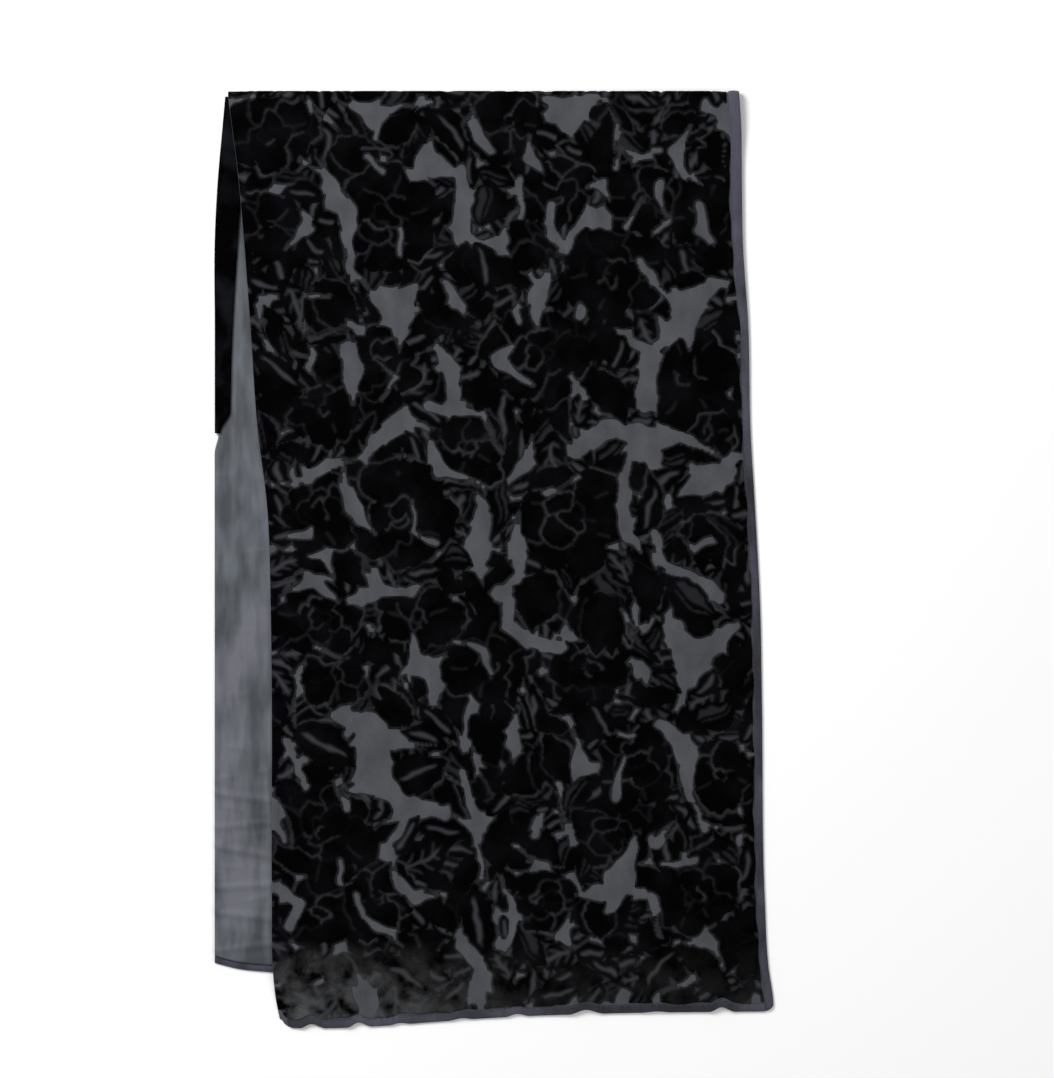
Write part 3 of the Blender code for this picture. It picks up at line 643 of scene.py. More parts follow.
class Pattern:
    """A field over the flat cloth, above 0 where pile stands, about the distance to its edge.

    Shapes are laid from the front to the back. With s the distance inside a new shape, R the
    distance to the nearest opening and v how far the shape's kind reaches over openings,
    F = max(F, min(s, R + v, -F)). "cover" is the largest min(s, R + v) so far. "burnt" is how
    far fine lines are burnt into the pile, from 0 to 1, and a dim line follows each shape's
    seam with those in front.
    """

    def __init__(self, low, high, random):
        columns = int(round((high[0] - low[0]) / PATTERN_PITCH)) + 1
        rows = int(round((high[1] - low[1]) / PATTERN_PITCH)) + 1
        self.across = low[0] + PATTERN_PITCH * np.arange(columns)
        self.down = low[1] + PATTERN_PITCH * np.arange(rows)
        self.field = np.full((rows, columns), -0.050)
        self.cover = np.full((rows, columns), -0.050)
        self.burnt = np.zeros((rows, columns))
        self.kind = np.zeros((rows, columns), dtype=np.int8)
        self.sway = [self.slow_waves(random) for _ in range(2)]
        self.room = np.full((rows, columns), ROOM_AROUND)
        self.random = random

    def slow_waves(self, random):
        """A sum of slow waves in all directions, which makes drawn shapes uneven."""
        total = np.zeros(self.field.shape)
        for wave in np.geomspace(0.090, 0.014, 12):
            angle, phase = random.uniform(0, 2 * np.pi, 2)
            far = np.add.outer(np.sin(angle) * self.down, np.cos(angle) * self.across)
            total += SWAY * (wave / 0.090) ** 0.8 * np.sin(2 * np.pi * far / wave + phase)
        return total

    def window(self, across, down, reach):
        """The part of the grid round a place, and its points' offsets from it."""
        first = np.searchsorted(self.across, (across - reach, across + reach))
        second = np.searchsorted(self.down, (down - reach, down + reach))
        part = (slice(*second), slice(*first))
        right, below = np.meshgrid(self.across[part[1]] - across, self.down[part[0]] - down)
        return part, right + self.sway[0][part], below + self.sway[1][part]

    def open_stroke(self, points):
        """Keeps the ground bare along a stroke of round dots between its points."""
        t = np.linspace(0, len(points) - 1, 9 * (len(points) - 1) + 1)
        dots = np.stack([np.interp(t, np.arange(len(points)), column) for column in points.T])
        middle = points[:, :2].mean(axis=0)
        reach = np.abs(points[:, :2] - middle).max() + points[:, 2].max() + ROOM_AROUND
        part, right, below = self.window(*middle, reach)
        for across, down, half in dots.T:
            far = np.hypot(right + middle[0] - across, below + middle[1] - down)
            far = far - OPENING_WIDTH * half
            self.room[part] = np.minimum(self.room[part], far)

    def lay(self, kind, across, down, reach, turn, shape):
        """Lays one shape behind the rest, turned anticlockwise as seen from above."""
        part, right, below = self.window(across, down, reach)
        if right.size == 0:
            return
        along = right * np.cos(turn) - below * np.sin(turn)
        over = -right * np.sin(turn) - below * np.cos(turn)
        there = self.field[part]
        inside, lines = shape(along, over)
        over_openings, faint, plain = LAYING[kind]
        seam = self.random.uniform(faint, plain) * soft_line(there, SEAM_LINE) * (inside > 0)
        lines = np.maximum(lines, seam)
        inside = np.minimum(inside, self.room[part] + over_openings)
        self.cover[part] = np.maximum(self.cover[part], inside)
        new = np.minimum(inside, -there)
        mine = (new > -CLOSED_GAP) & (new > there)
        self.kind[part] = np.where(mine, kind, self.kind[part])
        self.burnt[part] = np.where(mine, lines, self.burnt[part])
        self.field[part] = np.maximum(there, new)

    def at(self, across, down, values):
        """One of the grid's values at one place."""
        row = np.clip(np.searchsorted(self.down, down), 0, len(self.down) - 1)
        column = np.clip(np.searchsorted(self.across, across), 0, len(self.across) - 1)
        return values[row, column]


def soft_line(distance, half_width):
    """1 on a line, 0 from half_width on, as (1 - (distance / half_width)^2)^1.5."""
    return np.clip(1 - (distance / half_width) ** 2, 0.0, 1.0) ** 1.5


def leaf_shape(length, width, bend=0.10, style="slit"):
    """A pointed oval about a bent midrib, which is burnt in as a soft slit.

    Half width = width/2 * sin(pi * t^0.8)^0.9, t from 0 at the stalk to 1 at the tip. A veined
    leaf has side veins too, an open one is burnt thin between its rim and its midrib.
    """
    def shape(along, over):
        part = np.clip(along / length + 0.5, 0.0, 1.0)
        off = over - bend * length * (4 * part * (1 - part) - 0.5)
        half = 0.5 * width * np.sin(np.pi * part ** 0.8) ** 0.9
        half = half * (1 + 0.05 * np.sin(2 * np.pi * part * length / 0.011))
        inside = (half - np.abs(off)) / np.sqrt(1 + (1.4 * width / length) ** 2)
        inside = inside - np.maximum(np.abs(along) - length / 2, 0.0)
        slit = LINE_WIDTH * (0.5 + 0.9 * np.sin(np.pi * part))
        lines = soft_line(off, slit) * ease((0.84 - part) / 0.12) * ease((part - 0.10) / 0.12)
        if style == "plain":
            lines = np.zeros(lines.shape)
        if style == "veined":
            spacing = max(0.0100, length / 4.5)
            turn_in = (along - 0.9 * np.abs(off)) / spacing
            near = (turn_in - np.floor(turn_in) - 0.5) * spacing * 0.74
            reach = ease((0.74 * half - np.abs(off)) / 0.004) * ease((0.82 - part) / 0.08)
            lines = np.maximum(lines, 0.75 * soft_line(near, LINE_WIDTH * 0.9) * reach)
        if style == "open":
            rim = ease((inside - 0.0024) / 0.0025) * ease((np.abs(off) - 0.0022) / 0.002)
            lines = OPEN_DEPTH * rim * (off > 0) + 0.6 * lines * (off <= 0)
        return inside, lines
    return shape


def petal_shape(length, width, ripple, lines=0, notch=0.10):
    """A rippled oval with a shallow notch at its tip and burnt lines that fan out from its foot.

    Edge radius = 1 + 0.06 sin(3 angle + ripple) + 0.03 sin(7 angle + 2 ripple) - the notch.
    """
    def shape(along, over):
        a = along / (0.5 * length)
        b = over / (0.5 * width)
        angle = np.arctan2(b, a)
        edge = 1 + 0.06 * np.sin(3 * angle + ripple) + 0.03 * np.sin(7 * angle + 2 * ripple)
        edge = edge - notch * np.exp(-(angle / 0.32) ** 2)
        inside = (edge - np.hypot(a, b)) * 0.5 * min(length, width)
        burnt = np.zeros(along.shape)
        for place in np.linspace(-0.55, 0.55, lines) if lines else ():
            off = over - place * 0.5 * width * (0.75 + 0.5 * a)
            from_middle = np.abs(a / 2 + 0.06 * np.cos(9 * place + ripple))
            reach = ease((0.30 - 0.12 * abs(place) - from_middle) / 0.06)
            burnt = np.maximum(burnt, 0.40 * soft_line(off, LINE_WIDTH) * reach)
        return inside, burnt
    return shape


def gathered(petals):
    """One shape of many that overlap: the first lies in front, a burnt line parts the others."""
    def shape(along, over):
        whole = np.full(along.shape, -1.0)
        lines = np.zeros(along.shape)
        for x, y, turn, petal in petals:
            right, up = along - x, over - y
            inside, burnt = petal(right * np.cos(turn) + up * np.sin(turn),
                                  up * np.cos(turn) - right * np.sin(turn))
            strength = 0.30 + 0.60 * np.sin(3.1 * turn + 40 * (x + y) / PETAL_LINE)
            edge = strength * soft_line(np.minimum(whole, 0.0), PETAL_LINE)
            burnt = np.maximum(burnt, edge)
            lines = np.where((whole <= 0) & (inside > 0), burnt, lines)
            whole = np.maximum(whole, inside)
        return whole, lines
    return shape


def petal_ring(reach, count, at, length, width, lines, start, phase):
    """A ring of petals round a flower's middle, sizes as shares of its reach."""
    ring = []
    for number in range(count):
        turn = start + 2 * np.pi * number / count
        wobble = 1 + 0.09 * np.sin(2.4 * number + phase)
        petal = petal_shape(length * reach * wobble, width * reach, 1.7 * number + phase,
                            lines if (number + int(phase)) % 3 else 0)
        far = at * reach * wobble
        ring.append((far * np.cos(turn), far * np.sin(turn), turn, petal))
    return ring


def rose_shape(reach, phase):
    """A full rose: a heart of folded petals, then two rings that open out."""
    heart = petal_ring(reach, 3, 0.09, 0.34, 0.24, 0, 0.4, phase)
    inner = petal_ring(reach, 4, 0.30, 0.48, 0.52, 0, 1.1, phase + 1)
    outer = petal_ring(reach, 6, 0.62, 0.80, 0.86, 1, 0.2, phase + 2)
    return gathered(heart + inner + outer)


def open_shape(reach, phase):
    """An open flower: a small folded heart, five broad petals round it and five behind."""
    heart = petal_ring(reach, 3, 0.08, 0.26, 0.22, 0, 0.9, phase)
    inner = petal_ring(reach, 5, 0.52, 0.84, 0.78, 1, 0.0, phase)
    outer = petal_ring(reach, 5, 0.66, 0.70, 0.62, 0, 0.6, phase)
    return gathered(heart + inner + outer)


def bud_shape(reach, phase):
    """A bud seen from the side: one long petal in front and two behind on each side."""
    petals = []
    for number, spread in enumerate((0.0, 0.40, -0.40, 0.80, -0.80)):
        leaf = leaf_shape(1.45 * reach, (0.72 - 0.04 * number) * reach,
                          bend=0.12 * np.sign(spread), style="plain")
        petals.append((0.45 * reach * np.cos(spread), 0.45 * reach * np.sin(spread), spread, leaf))
    return gathered(petals)


def stem_shape(points, width):
    """A ribbon about a bent line P = (1-t)^2 A + 2t(1-t) B + t^2 C through three points."""
    t = np.linspace(0, 1, 40)[:, None]
    line = (1 - t) ** 2 * points[0] + 2 * t * (1 - t) * points[1] + t * t * points[2]

    def shape(along, over):
        near = np.full(along.shape, np.inf)
        for across, down in line:
            near = np.minimum(near, (along - across) ** 2 + (over + down) ** 2)
        return width / 2 - np.sqrt(near), np.zeros(along.shape)
    return shape


FLOWER_SHAPES = {"rose": rose_shape, "open": open_shape, "bud": bud_shape}
LEAF_STYLES = ("slit", "plain", "plain", "open", "veined", "plain", "slit")


def flower_kind(flower):
    """The kind of shape that a flower is laid as, which says which piece it is in."""
    if flower.kind != "rose":
        return BLOSSOM
    return BIG_ROSE if flower.reach > BIG_ROSE_REACH else ROSE


def fill_with_sprigs(pattern, random, low, high):
    """Small leaves in what is still bare outside the openings, until enough is covered."""
    for number in range(FILLER_TRIES):
        across, down = random.uniform(low, high)
        turn, length, wide, style = random.uniform(0, 1, 4)
        longest = np.interp(number / FILLER_TRIES, SPRIG_STAGES, SPRIG_LENGTHS)
        length = longest * (0.62 + 0.38 * length)
        if number % 100 == 0 and (pattern.field > 0).mean() > TARGET_COVER:
            break
        if pattern.at(across, down, pattern.cover) > SPRIG_BARE:
            continue
        if pattern.at(across, down, pattern.room) < SPRIG_ROOM:
            continue
        shape = leaf_shape(length, length * (0.44 + 0.22 * wide), 0.3 * (turn - 0.5),
                           LEAF_STYLES[int(len(LEAF_STYLES) * style)])
        kind = SPRIG if number < LONG_SPRIG_TRIES else SMALL_SPRIG
        pattern.lay(kind, across, down, 0.62 * length, 4 * np.pi * turn, shape)


def on_cloth(column, row):
    """A place on the photograph as metres across the cloth and down from the fold's edge."""
    return (column - MIDDLE_COLUMN) * METRES_PER_PIXEL, (row - FOLD_ROW) * METRES_PER_PIXEL


def main_pattern():
    """The pattern of the upper half, in places across the cloth and down its path."""
    random = np.random.RandomState(FILLER_SEED)
    low = np.array((PATTERN_LEFT, -np.pi * FOLD_MID_RADIUS - 0.001))
    high = np.array((PATTERN_RIGHT, FOLDED_LENGTH))
    pattern = Pattern(low, high, random)
    for stroke in OPENINGS:
        columns, rows, halves = np.array(stroke).T
        pattern.open_stroke(np.stack([*on_cloth(columns, rows), halves * MM], axis=1))
    for number, flower in enumerate(FLOWERS):
        reach = FLOWER_GROWTH * flower.reach * METRES_PER_PIXEL
        pattern.lay(flower_kind(flower), *on_cloth(flower.column, flower.row), 1.25 * reach,
                    np.radians(flower.turn), FLOWER_SHAPES[flower.kind](reach, 0.9 * number))
    for number, leaf in enumerate(LEAVES):
        length = LEAF_GROWTH * leaf.length * METRES_PER_PIXEL
        width = LEAF_GROWTH * leaf.width * METRES_PER_PIXEL
        shape = leaf_shape(length, width, 0.10 * (-1) ** number,
                           LEAF_STYLES[number % len(LEAF_STYLES)])
        pattern.lay(LEAF, *on_cloth(leaf.column, leaf.row), 0.62 * length,
                    np.radians(leaf.turn), shape)
    for stem in STEMS:
        columns, rows = np.array(stem[:6]).reshape(3, 2).T
        points = np.stack(on_cloth(columns, rows), axis=1)
        middle = points.mean(axis=0)
        reach = np.abs(points - middle).max() + stem.width * MM
        pattern.lay(STEM, middle[0], middle[1], reach, 0.0,
                    stem_shape(points - middle, stem.width * MM))
    fill_with_sprigs(pattern, random, low, high)
    return pattern


def nine(values):
    """Each grid point's value and those of the eight points round it, along a first axis."""
    wide = np.pad(values, 1, mode="edge")
    rows, columns = values.shape
    return np.stack([wide[r:r + rows, c:c + columns] for r in range(3) for c in range(3)])


def close_slits(pattern):
    """Lays dim pile in bare slits under two grid steps wide, which would leave rows of dots.

    A point is in a slit where the lowest of the highest of its neighbours is above 0.
    """
    near = nine(pattern.field)
    closed = nine(near.max(axis=0)).min(axis=0)
    slit = (pattern.field < 0) & (closed > 0)
    beside = np.take_along_axis(nine(pattern.kind), near.argmax(axis=0)[None], axis=0)[0]
    pattern.kind = np.where(slit, beside, pattern.kind)
    pattern.field = np.where(slit, 0.0, pattern.field)
    pattern.burnt = np.where(slit, SLIT_BURN, pattern.burnt)


def clear_specks(pattern):
    """Bares specks and slivers of pile under two grid steps wide.

    A point is in a speck where the highest of the lowest of its neighbours is under 0.
    """
    opened = nine(nine(pattern.field).min(axis=0)).max(axis=0)
    pattern.field = np.where((pattern.field > 0) & (opened < 0), BARED, pattern.field)


def hem_shows(down, inward):
    """How much of a long side's hem shows: the right one is wider near the fold."""
    near_fold = 1 - ease((down - TOP_HEM_START) / TOP_HEM_FADE)
    return HEM_SHOWS * (1 + TOP_HEM_WIDER * (inward < 0) * near_fold)


def uneven(place, slow, fast, slow_phase=0, fast_phase=0):
    """A line that wanders from 0 to 1, as 0.5 + 0.3 sin(slow place) + 0.2 sin(fast place)."""
    return 0.5 + 0.3 * np.sin(place * slow + slow_phase) + 0.2 * np.sin(place * fast + fast_phase)


def trim_to_cloth(pattern):
    """Ends the pile inside the hems: at once at the left, unevenly at the right and the end."""
    across, path = np.meshgrid(pattern.across, pattern.down)
    down = FOLD_RADIUS + np.maximum(path, 0.0)
    left = across - side("upper_left", down) - LEFT_PILE_GAP
    right = side("upper_right", down) - hem_shows(down, -1) - SIDE_PILE_GAP
    right = right - SIDE_PILE_UNEVEN * uneven(down, 71, 173, fast_phase=1) - across
    last = upper_end(across) - HEM_SHOWS - END_PILE_GAP
    last = last - END_PILE_UNEVEN * uneven(across, 83, 191, slow_phase=2) - down
    first = path + np.pi * FOLD_MID_RADIUS - FOLD_PILE_GAP
    edge = np.minimum(np.minimum(left, right), np.minimum(last, first))
    pattern.field = np.minimum(pattern.field + CLOSED_GAP, edge)
    softened = LINE_KEPT * pattern.burnt + LINE_SPREAD * nine(pattern.burnt).mean(axis=0)
    pattern.burnt = np.clip(softened, 0.0, 1.0) ** LINE_SHARPNESS
    thin = 1 - np.clip(pattern.cover / SOFT_EDGE, 0.0, 1.0)
    pattern.burnt = np.maximum(pattern.burnt, SOFT_EDGE_SHARE * thin)


def cut_out(field, extra, across, down):
    """The part of a grid where the field is above 0, cut along its zero line.

    Each cell is two triangles. One wholly inside is kept, one that crosses is cut where the
    field, taken as straight between two corners, is 0. Gives places, their field, the
    extra value, the triangles, and the cut's edges.
    """
    rows, columns = field.shape
    number = np.arange(field.size).reshape(rows, columns)
    a, b, c, d = number[:-1, :-1], number[1:, :-1], number[1:, 1:], number[:-1, 1:]
    odd = (np.add.outer(np.arange(rows - 1), np.arange(columns - 1)) % 2).astype(bool)
    first = np.where(odd[..., None], np.stack((a, b, c), -1), np.stack((a, b, d), -1))
    second = np.where(odd[..., None], np.stack((a, c, d), -1), np.stack((b, c, d), -1))
    tris = np.concatenate((first.reshape(-1, 3), second.reshape(-1, 3)))
    value = field.ravel()
    inside = value[tris] > 0
    count = inside.sum(axis=1)
    whole = tris[count == 3]

    def turned(wanted, which):
        """Triangles with that many corners inside, turned so that the lone one comes first."""
        some = tris[count == wanted]
        lone = np.argmax(inside[count == wanted] == which, axis=1)
        order = (lone[:, None] + np.arange(3)) % 3
        return np.take_along_axis(some, order, axis=1)

    one, two = turned(1, True), turned(2, False)
    edges = np.concatenate((one[:, (0, 1)], one[:, (0, 2)], two[:, (0, 1)], two[:, (0, 2)]))
    key = np.sort(edges, axis=1)
    unique, spot = np.unique(key[:, 0] * field.size + key[:, 1], return_inverse=True)
    low, high = unique // field.size, unique % field.size
    share = np.clip(value[low] / (value[low] - value[high]), 0.02, 0.98)
    places = np.stack(np.meshgrid(across, down), axis=-1).reshape(-1, 2)
    cut_places = places[low] + share[:, None] * (places[high] - places[low])
    spot = spot.ravel() + field.size
    n, m = len(one), len(two)
    one_b, one_c = spot[:n], spot[n:2 * n]
    two_b, two_c = spot[2 * n:2 * n + m], spot[2 * n + m:]
    tris = np.concatenate((
        whole,
        np.stack((one[:, 0], one_b, one_c), 1),
        np.stack((two_b, two[:, 1], two[:, 2]), 1),
        np.stack((two_b, two[:, 2], two_c), 1)))
    rim = np.concatenate((np.stack((one_b, one_c), 1), np.stack((two_c, two_b), 1)))
    places = np.concatenate((places, cut_places))
    value = np.concatenate((value, np.zeros(len(cut_places))))
    extra = extra.ravel()
    extra = np.concatenate((extra, np.where(value[low] > 0, extra[low], extra[high])))
    used, again = np.unique(tris, return_inverse=True)
    renumber = np.zeros(len(places), dtype=np.int64)
    renumber[used] = np.arange(len(used))
    return places[used], value[used], extra[used], again.reshape(-1, 3), renumber[rim]


def add_pile(name, pattern, kinds, surface, pile_height, floor_offset, finish):
    """Raised pile over the chosen kinds of shape: round at its edge, with a skirt to the ground.

    Height over the ground = H (e + (1-e) sqrt(1 - (1 - F/r)^2)), F the field up to r.
    """
    mine = np.isin(pattern.kind, kinds)
    field = np.where(mine, pattern.field, -np.maximum(np.abs(pattern.field), 0.0002))
    places, value, burnt, tris, rim = cut_out(field, pattern.burnt, pattern.across, pattern.down)
    part = np.clip(value / EDGE_ROUNDING, 0.0, 1.0)
    rounded = EDGE_SHARE + (1 - EDGE_SHARE) * np.sqrt(1 - (1 - part) ** 2)
    rounded = rounded * (1 - LINE_DEPTH * burnt)
    across, path = places[:, 0], places[:, 1]
    middle = surface(across, path)
    normal = normals_of(surface, across, path)
    top = middle + (floor_offset + pile_height * rounded)[:, None] * normal
    edge_points, back = np.unique(rim, return_inverse=True)
    back = back.reshape(-1, 2) + len(top)
    foot = middle[edge_points] + (floor_offset - SINK_IN_GROUND) * normal[edge_points]
    skirt = np.concatenate((
        np.stack((rim[:, 1], rim[:, 0], back[:, 0]), 1),
        np.stack((rim[:, 1], back[:, 0], back[:, 1]), 1)))
    points = np.concatenate((top, foot))
    spots = cloth_places(np.concatenate((across, across[edge_points])),
                         np.concatenate((path, path[edge_points])))
    piece = add_piece(name, points, np.concatenate((tris, skirt)), finish, spots)
    shade = piece.data.attributes.new("burnt", "FLOAT", "POINT")
    shade.data.foreach_set("value", np.concatenate((burnt, burnt[edge_points])).astype(np.float32))
    return piece


# Shader groups and finishes

def new_group(name, inputs, outputs):
    """A shader node group with named value inputs and outputs, and its two end nodes."""
    group = bpy.data.node_groups.new(name, "ShaderNodeTree")
    for label, kind, default in inputs:
        made = group.interface.new_socket(label, in_out="INPUT", socket_type=kind)
        if default is not None:
            made.default_value = default
    for label in outputs:
        group.interface.new_socket(label, in_out="OUTPUT", socket_type="NodeSocketFloat")
    return group, group.nodes.new("NodeGroupInput"), group.nodes.new("NodeGroupOutput")


def sum_node(tree, operation, first, second=None, third=None):
    """A Math node on sockets or plain numbers."""
    node = tree.nodes.new("ShaderNodeMath")
    node.operation = operation
    for place, value in enumerate((first, second, third)):
        if value is None:
            continue
        if isinstance(value, (int, float)):
            node.inputs[place].default_value = value
        else:
            tree.links.new(value, node.inputs[place])
    return node.outputs[0]


def noise_node(tree, vector, scale, detail=2.0):
    """Flat noise on sockets, its scale a socket or a number."""
    node = tree.nodes.new("ShaderNodeTexNoise")
    node.noise_dimensions = "2D"
    tree.links.new(vector, node.inputs["Vector"])
    if isinstance(scale, (int, float)):
        node.inputs["Scale"].default_value = scale
    else:
        tree.links.new(scale, node.inputs["Scale"])
    node.inputs["Detail"].default_value = detail
    return node.outputs["Fac"]


VALUE, VECTOR = "NodeSocketFloat", "NodeSocketVector"


def weave_group():
    """Crossed threads: height = |sin| of one way against |sin| of the other, with slubs."""
    group, inside, out = new_group("Crossed threads", (
        ("Place", VECTOR, None), ("Threads", VALUE, 1200.0), ("Slubs", VALUE, 0.5)),
        ("Thread", "Height"))
    apart = group.nodes.new("ShaderNodeSeparateXYZ")
    group.links.new(inside.outputs["Place"], apart.inputs[0])
    turns = sum_node(group, "MULTIPLY", inside.outputs["Threads"], float(np.pi))
    warp = sum_node(group, "SINE", sum_node(group, "MULTIPLY", apart.outputs[0], turns))
    weft = sum_node(group, "SINE", sum_node(group, "MULTIPLY", apart.outputs[1], turns))
    warp, weft = sum_node(group, "ABSOLUTE", warp), sum_node(group, "ABSOLUTE", weft)
    height = sum_node(group, "MAXIMUM", warp, weft)
    slub = noise_node(group, inside.outputs["Place"], 260.0, 3.0)
    slub = sum_node(group, "MULTIPLY", slub, inside.outputs["Slubs"])
    height = sum_node(group, "MULTIPLY_ADD", slub, 1.0, height)
    thread = sum_node(group, "MULTIPLY", sum_node(group, "MULTIPLY", warp, weft), 0.6)
    thread = sum_node(group, "ADD", thread, slub)
    group.links.new(thread, out.inputs["Thread"])
    group.links.new(height, out.inputs["Height"])
    return group


def pile_group():
    """Painted sheen of the pile: soft patches painted lighter where the nap leans to the light,
    and the fine grain of its tips.
    """
    group, inside, out = new_group("Brushed pile", (
        ("Place", VECTOR, None), ("Patches", VALUE, 26.0), ("Grain", VALUE, 1500.0)),
        ("Nap", "Height"))
    patches = noise_node(group, inside.outputs["Place"], inside.outputs["Patches"], 3.0)
    grain = noise_node(group, inside.outputs["Place"], inside.outputs["Grain"], 2.0)
    nap = sum_node(group, "MULTIPLY", sum_node(group, "SUBTRACT", patches, 0.42), 3.2)
    nap = sum_node(group, "MAXIMUM", sum_node(group, "MINIMUM", nap, 1.0), 0.0)
    nap = sum_node(group, "MULTIPLY", nap, sum_node(group, "ADD", grain, 0.35))
    group.links.new(nap, out.inputs["Nap"])
    group.links.new(grain, out.inputs["Height"])
    return group


def streak_group():
    """Soft streaks that run along the cloth, from noise drawn out to Stretch times its width."""
    group, inside, out = new_group("Soft streaks", (
        ("Place", VECTOR, None), ("Streaks", VALUE, 60.0), ("Stretch", VALUE, 12.0)),
        ("Streak",))
    apart = group.nodes.new("ShaderNodeSeparateXYZ")
    joined = group.nodes.new("ShaderNodeCombineXYZ")
    group.links.new(inside.outputs["Place"], apart.inputs[0])
    group.links.new(apart.outputs[0], joined.inputs[0])
    drawn = sum_node(group, "DIVIDE", apart.outputs[1], inside.outputs["Stretch"])
    group.links.new(drawn, joined.inputs[1])
    streak = noise_node(group, joined.outputs[0], inside.outputs["Streaks"], 2.0)
    group.links.new(streak, out.inputs["Streak"])
    return group


SHARED_GROUPS = {"Crossed threads": weave_group, "Brushed pile": pile_group,
                 "Soft streaks": streak_group}


def shared_group(name):
    """The shared effect of that name, built when it is first asked for."""
    return bpy.data.node_groups.get(name) or SHARED_GROUPS[name]()


class Finish:
    """A material that is being put together: its tree, its shader and the cloth's own places."""

    def __init__(self, name, roughness, sheen=0.0, sheen_roughness=0.5, sheen_tint=(1, 1, 1)):
        self.material = bpy.data.materials.new(name)
        self.material.use_nodes = True
        self.tree = self.material.node_tree
        self.shader = self.tree.nodes["Principled BSDF"]
        self.shader.inputs["Roughness"].default_value = roughness
        self.shader.inputs["Specular IOR Level"].default_value = 0.25
        self.shader.inputs["Sheen Weight"].default_value = sheen
        self.shader.inputs["Sheen Roughness"].default_value = sheen_roughness
        self.shader.inputs["Sheen Tint"].default_value = (*sheen_tint, 1.0)
        place = self.tree.nodes.new("ShaderNodeUVMap")
        place.uv_map = "cloth"
        self.place = place.outputs["UV"]

    def group(self, name, **values):
        """A shared effect with its own values."""
        node = self.tree.nodes.new("ShaderNodeGroup")
        node.node_tree = shared_group(name)
        self.tree.links.new(self.place, node.inputs["Place"])
        for label, value in values.items():
            node.inputs[label].default_value = value
        return node.outputs

    def mix(self, share, first, second):
        """A colour between two, each a socket or three numbers."""
        node = self.tree.nodes.new("ShaderNodeMix")
        node.data_type = "RGBA"
        self.tree.links.new(share, node.inputs[0])
        for place, value in ((6, first), (7, second)):
            if isinstance(value, bpy.types.NodeSocket):
                self.tree.links.new(value, node.inputs[place])
            else:
                node.inputs[place].default_value = (*value[:3], 1.0)
        return node.outputs[2]

    def math(self, *values):
        """A Math node in this material."""
        return sum_node(self.tree, *values)

    def clamp(self, value):
        """The value kept between 0 and 1."""
        return self.math("MAXIMUM", self.math("MINIMUM", value, 1.0), 0.0)

    def rise(self, value, start, steepness):
        """0 up to the start, then up to 1, as (value - start) * steepness kept in 0 to 1."""
        return self.clamp(self.math("MULTIPLY", self.math("SUBTRACT", value, start), steepness))

    def across_and_down(self):
        """The cloth's own places as two values."""
        apart = self.tree.nodes.new("ShaderNodeSeparateXYZ")
        self.tree.links.new(self.place, apart.inputs[0])
        return apart.outputs[0], apart.outputs[1]

    def noise(self, scale):
        """Soft noise over the cloth's own places."""
        return noise_node(self.tree, self.place, scale, 3.0)

    def finish(self, colour, height, strength, distance):
        """Joins the colour and a bump of that height to the shader."""
        self.tree.links.new(colour, self.shader.inputs["Base Color"])
        bump_node = self.tree.nodes.new("ShaderNodeBump")
        bump_node.inputs["Strength"].default_value = strength
        bump_node.inputs["Distance"].default_value = distance
        self.tree.links.new(height, bump_node.inputs["Height"])
        self.tree.links.new(bump_node.outputs[0], self.shader.inputs["Normal"])
        return self.material


def looks():
    """The colours that a user can change."""
    return bpy.context.scene.stole_looks


def sizes():
    """The sizes that a user can change."""
    return bpy.context.scene.stole_sizes


def finish_named(name):
    """Marks the function that builds a finish, which runs once and is then found by name."""
    def mark(build):
        return lambda: bpy.data.materials.get(name) or build(name)
    return mark


# Where the pile is rubbed, on the cloth's own places: how far down, how far to the left
RUBBED_DOWN, RUBBED_DOWN_RISE = 0.875, 14.0
RUBBED_LEFT, RUBBED_LEFT_RISE = 0.36, 4.5
RUBBED_LEAST = 0.15
HEM_DARKER_DOWN, HEM_DARKER_RISE = 0.16, 3.5
HEM_DARKER = -0.52


def velvet_pile(name, sheen_colour):
    """Black velvet pile: patches of painted sheen where the nap leans, and rubbed paler towards
    the short end's left.
    """
    made = Finish(name, 0.95, sheen=0.16, sheen_roughness=0.16, sheen_tint=(0.62, 0.66, 0.80))
    made.shader.inputs["Specular IOR Level"].default_value = 0.0
    nap = made.group("Brushed pile")
    across, down = made.across_and_down()
    low = made.rise(down, RUBBED_DOWN, RUBBED_DOWN_RISE)
    left = made.math("SUBTRACT", RUBBED_LEFT, across)
    left = made.clamp(made.math("MULTIPLY", left, RUBBED_LEFT_RISE))
    left = made.math("MAXIMUM", left, RUBBED_LEAST)
    patches = made.math("MULTIPLY_ADD", made.noise(42.0), 3.6, -1.25)
    worn = made.math("MULTIPLY", made.math("MULTIPLY", low, left), made.clamp(patches))
    # Painted sheen: where the nap leans, the black pile takes the lighter sheen colour
    colour = made.mix(nap["Nap"], looks().pile, sheen_colour)
    burnt = made.tree.nodes.new("ShaderNodeAttribute")
    burnt.attribute_name = "burnt"
    colour = made.mix(burnt.outputs["Fac"], colour, looks().burnt_line)
    colour = made.mix(worn, colour, looks().pile_rubbed)
    return made.finish(colour, nap["Height"], 0.6, 0.0004)


@finish_named("black_velvet_pile")
def pile_finish(name):
    """The pile of both halves."""
    return velvet_pile(name, looks().pile_painted_sheen)


@finish_named("turned_velvet_pile")
def turned_lit_finish(name):
    """The pile of the turned edge, which leans to the light: a copy of the pile with lighter
    painted sheen.
    """
    return velvet_pile(name, looks().pile_turned_sheen)


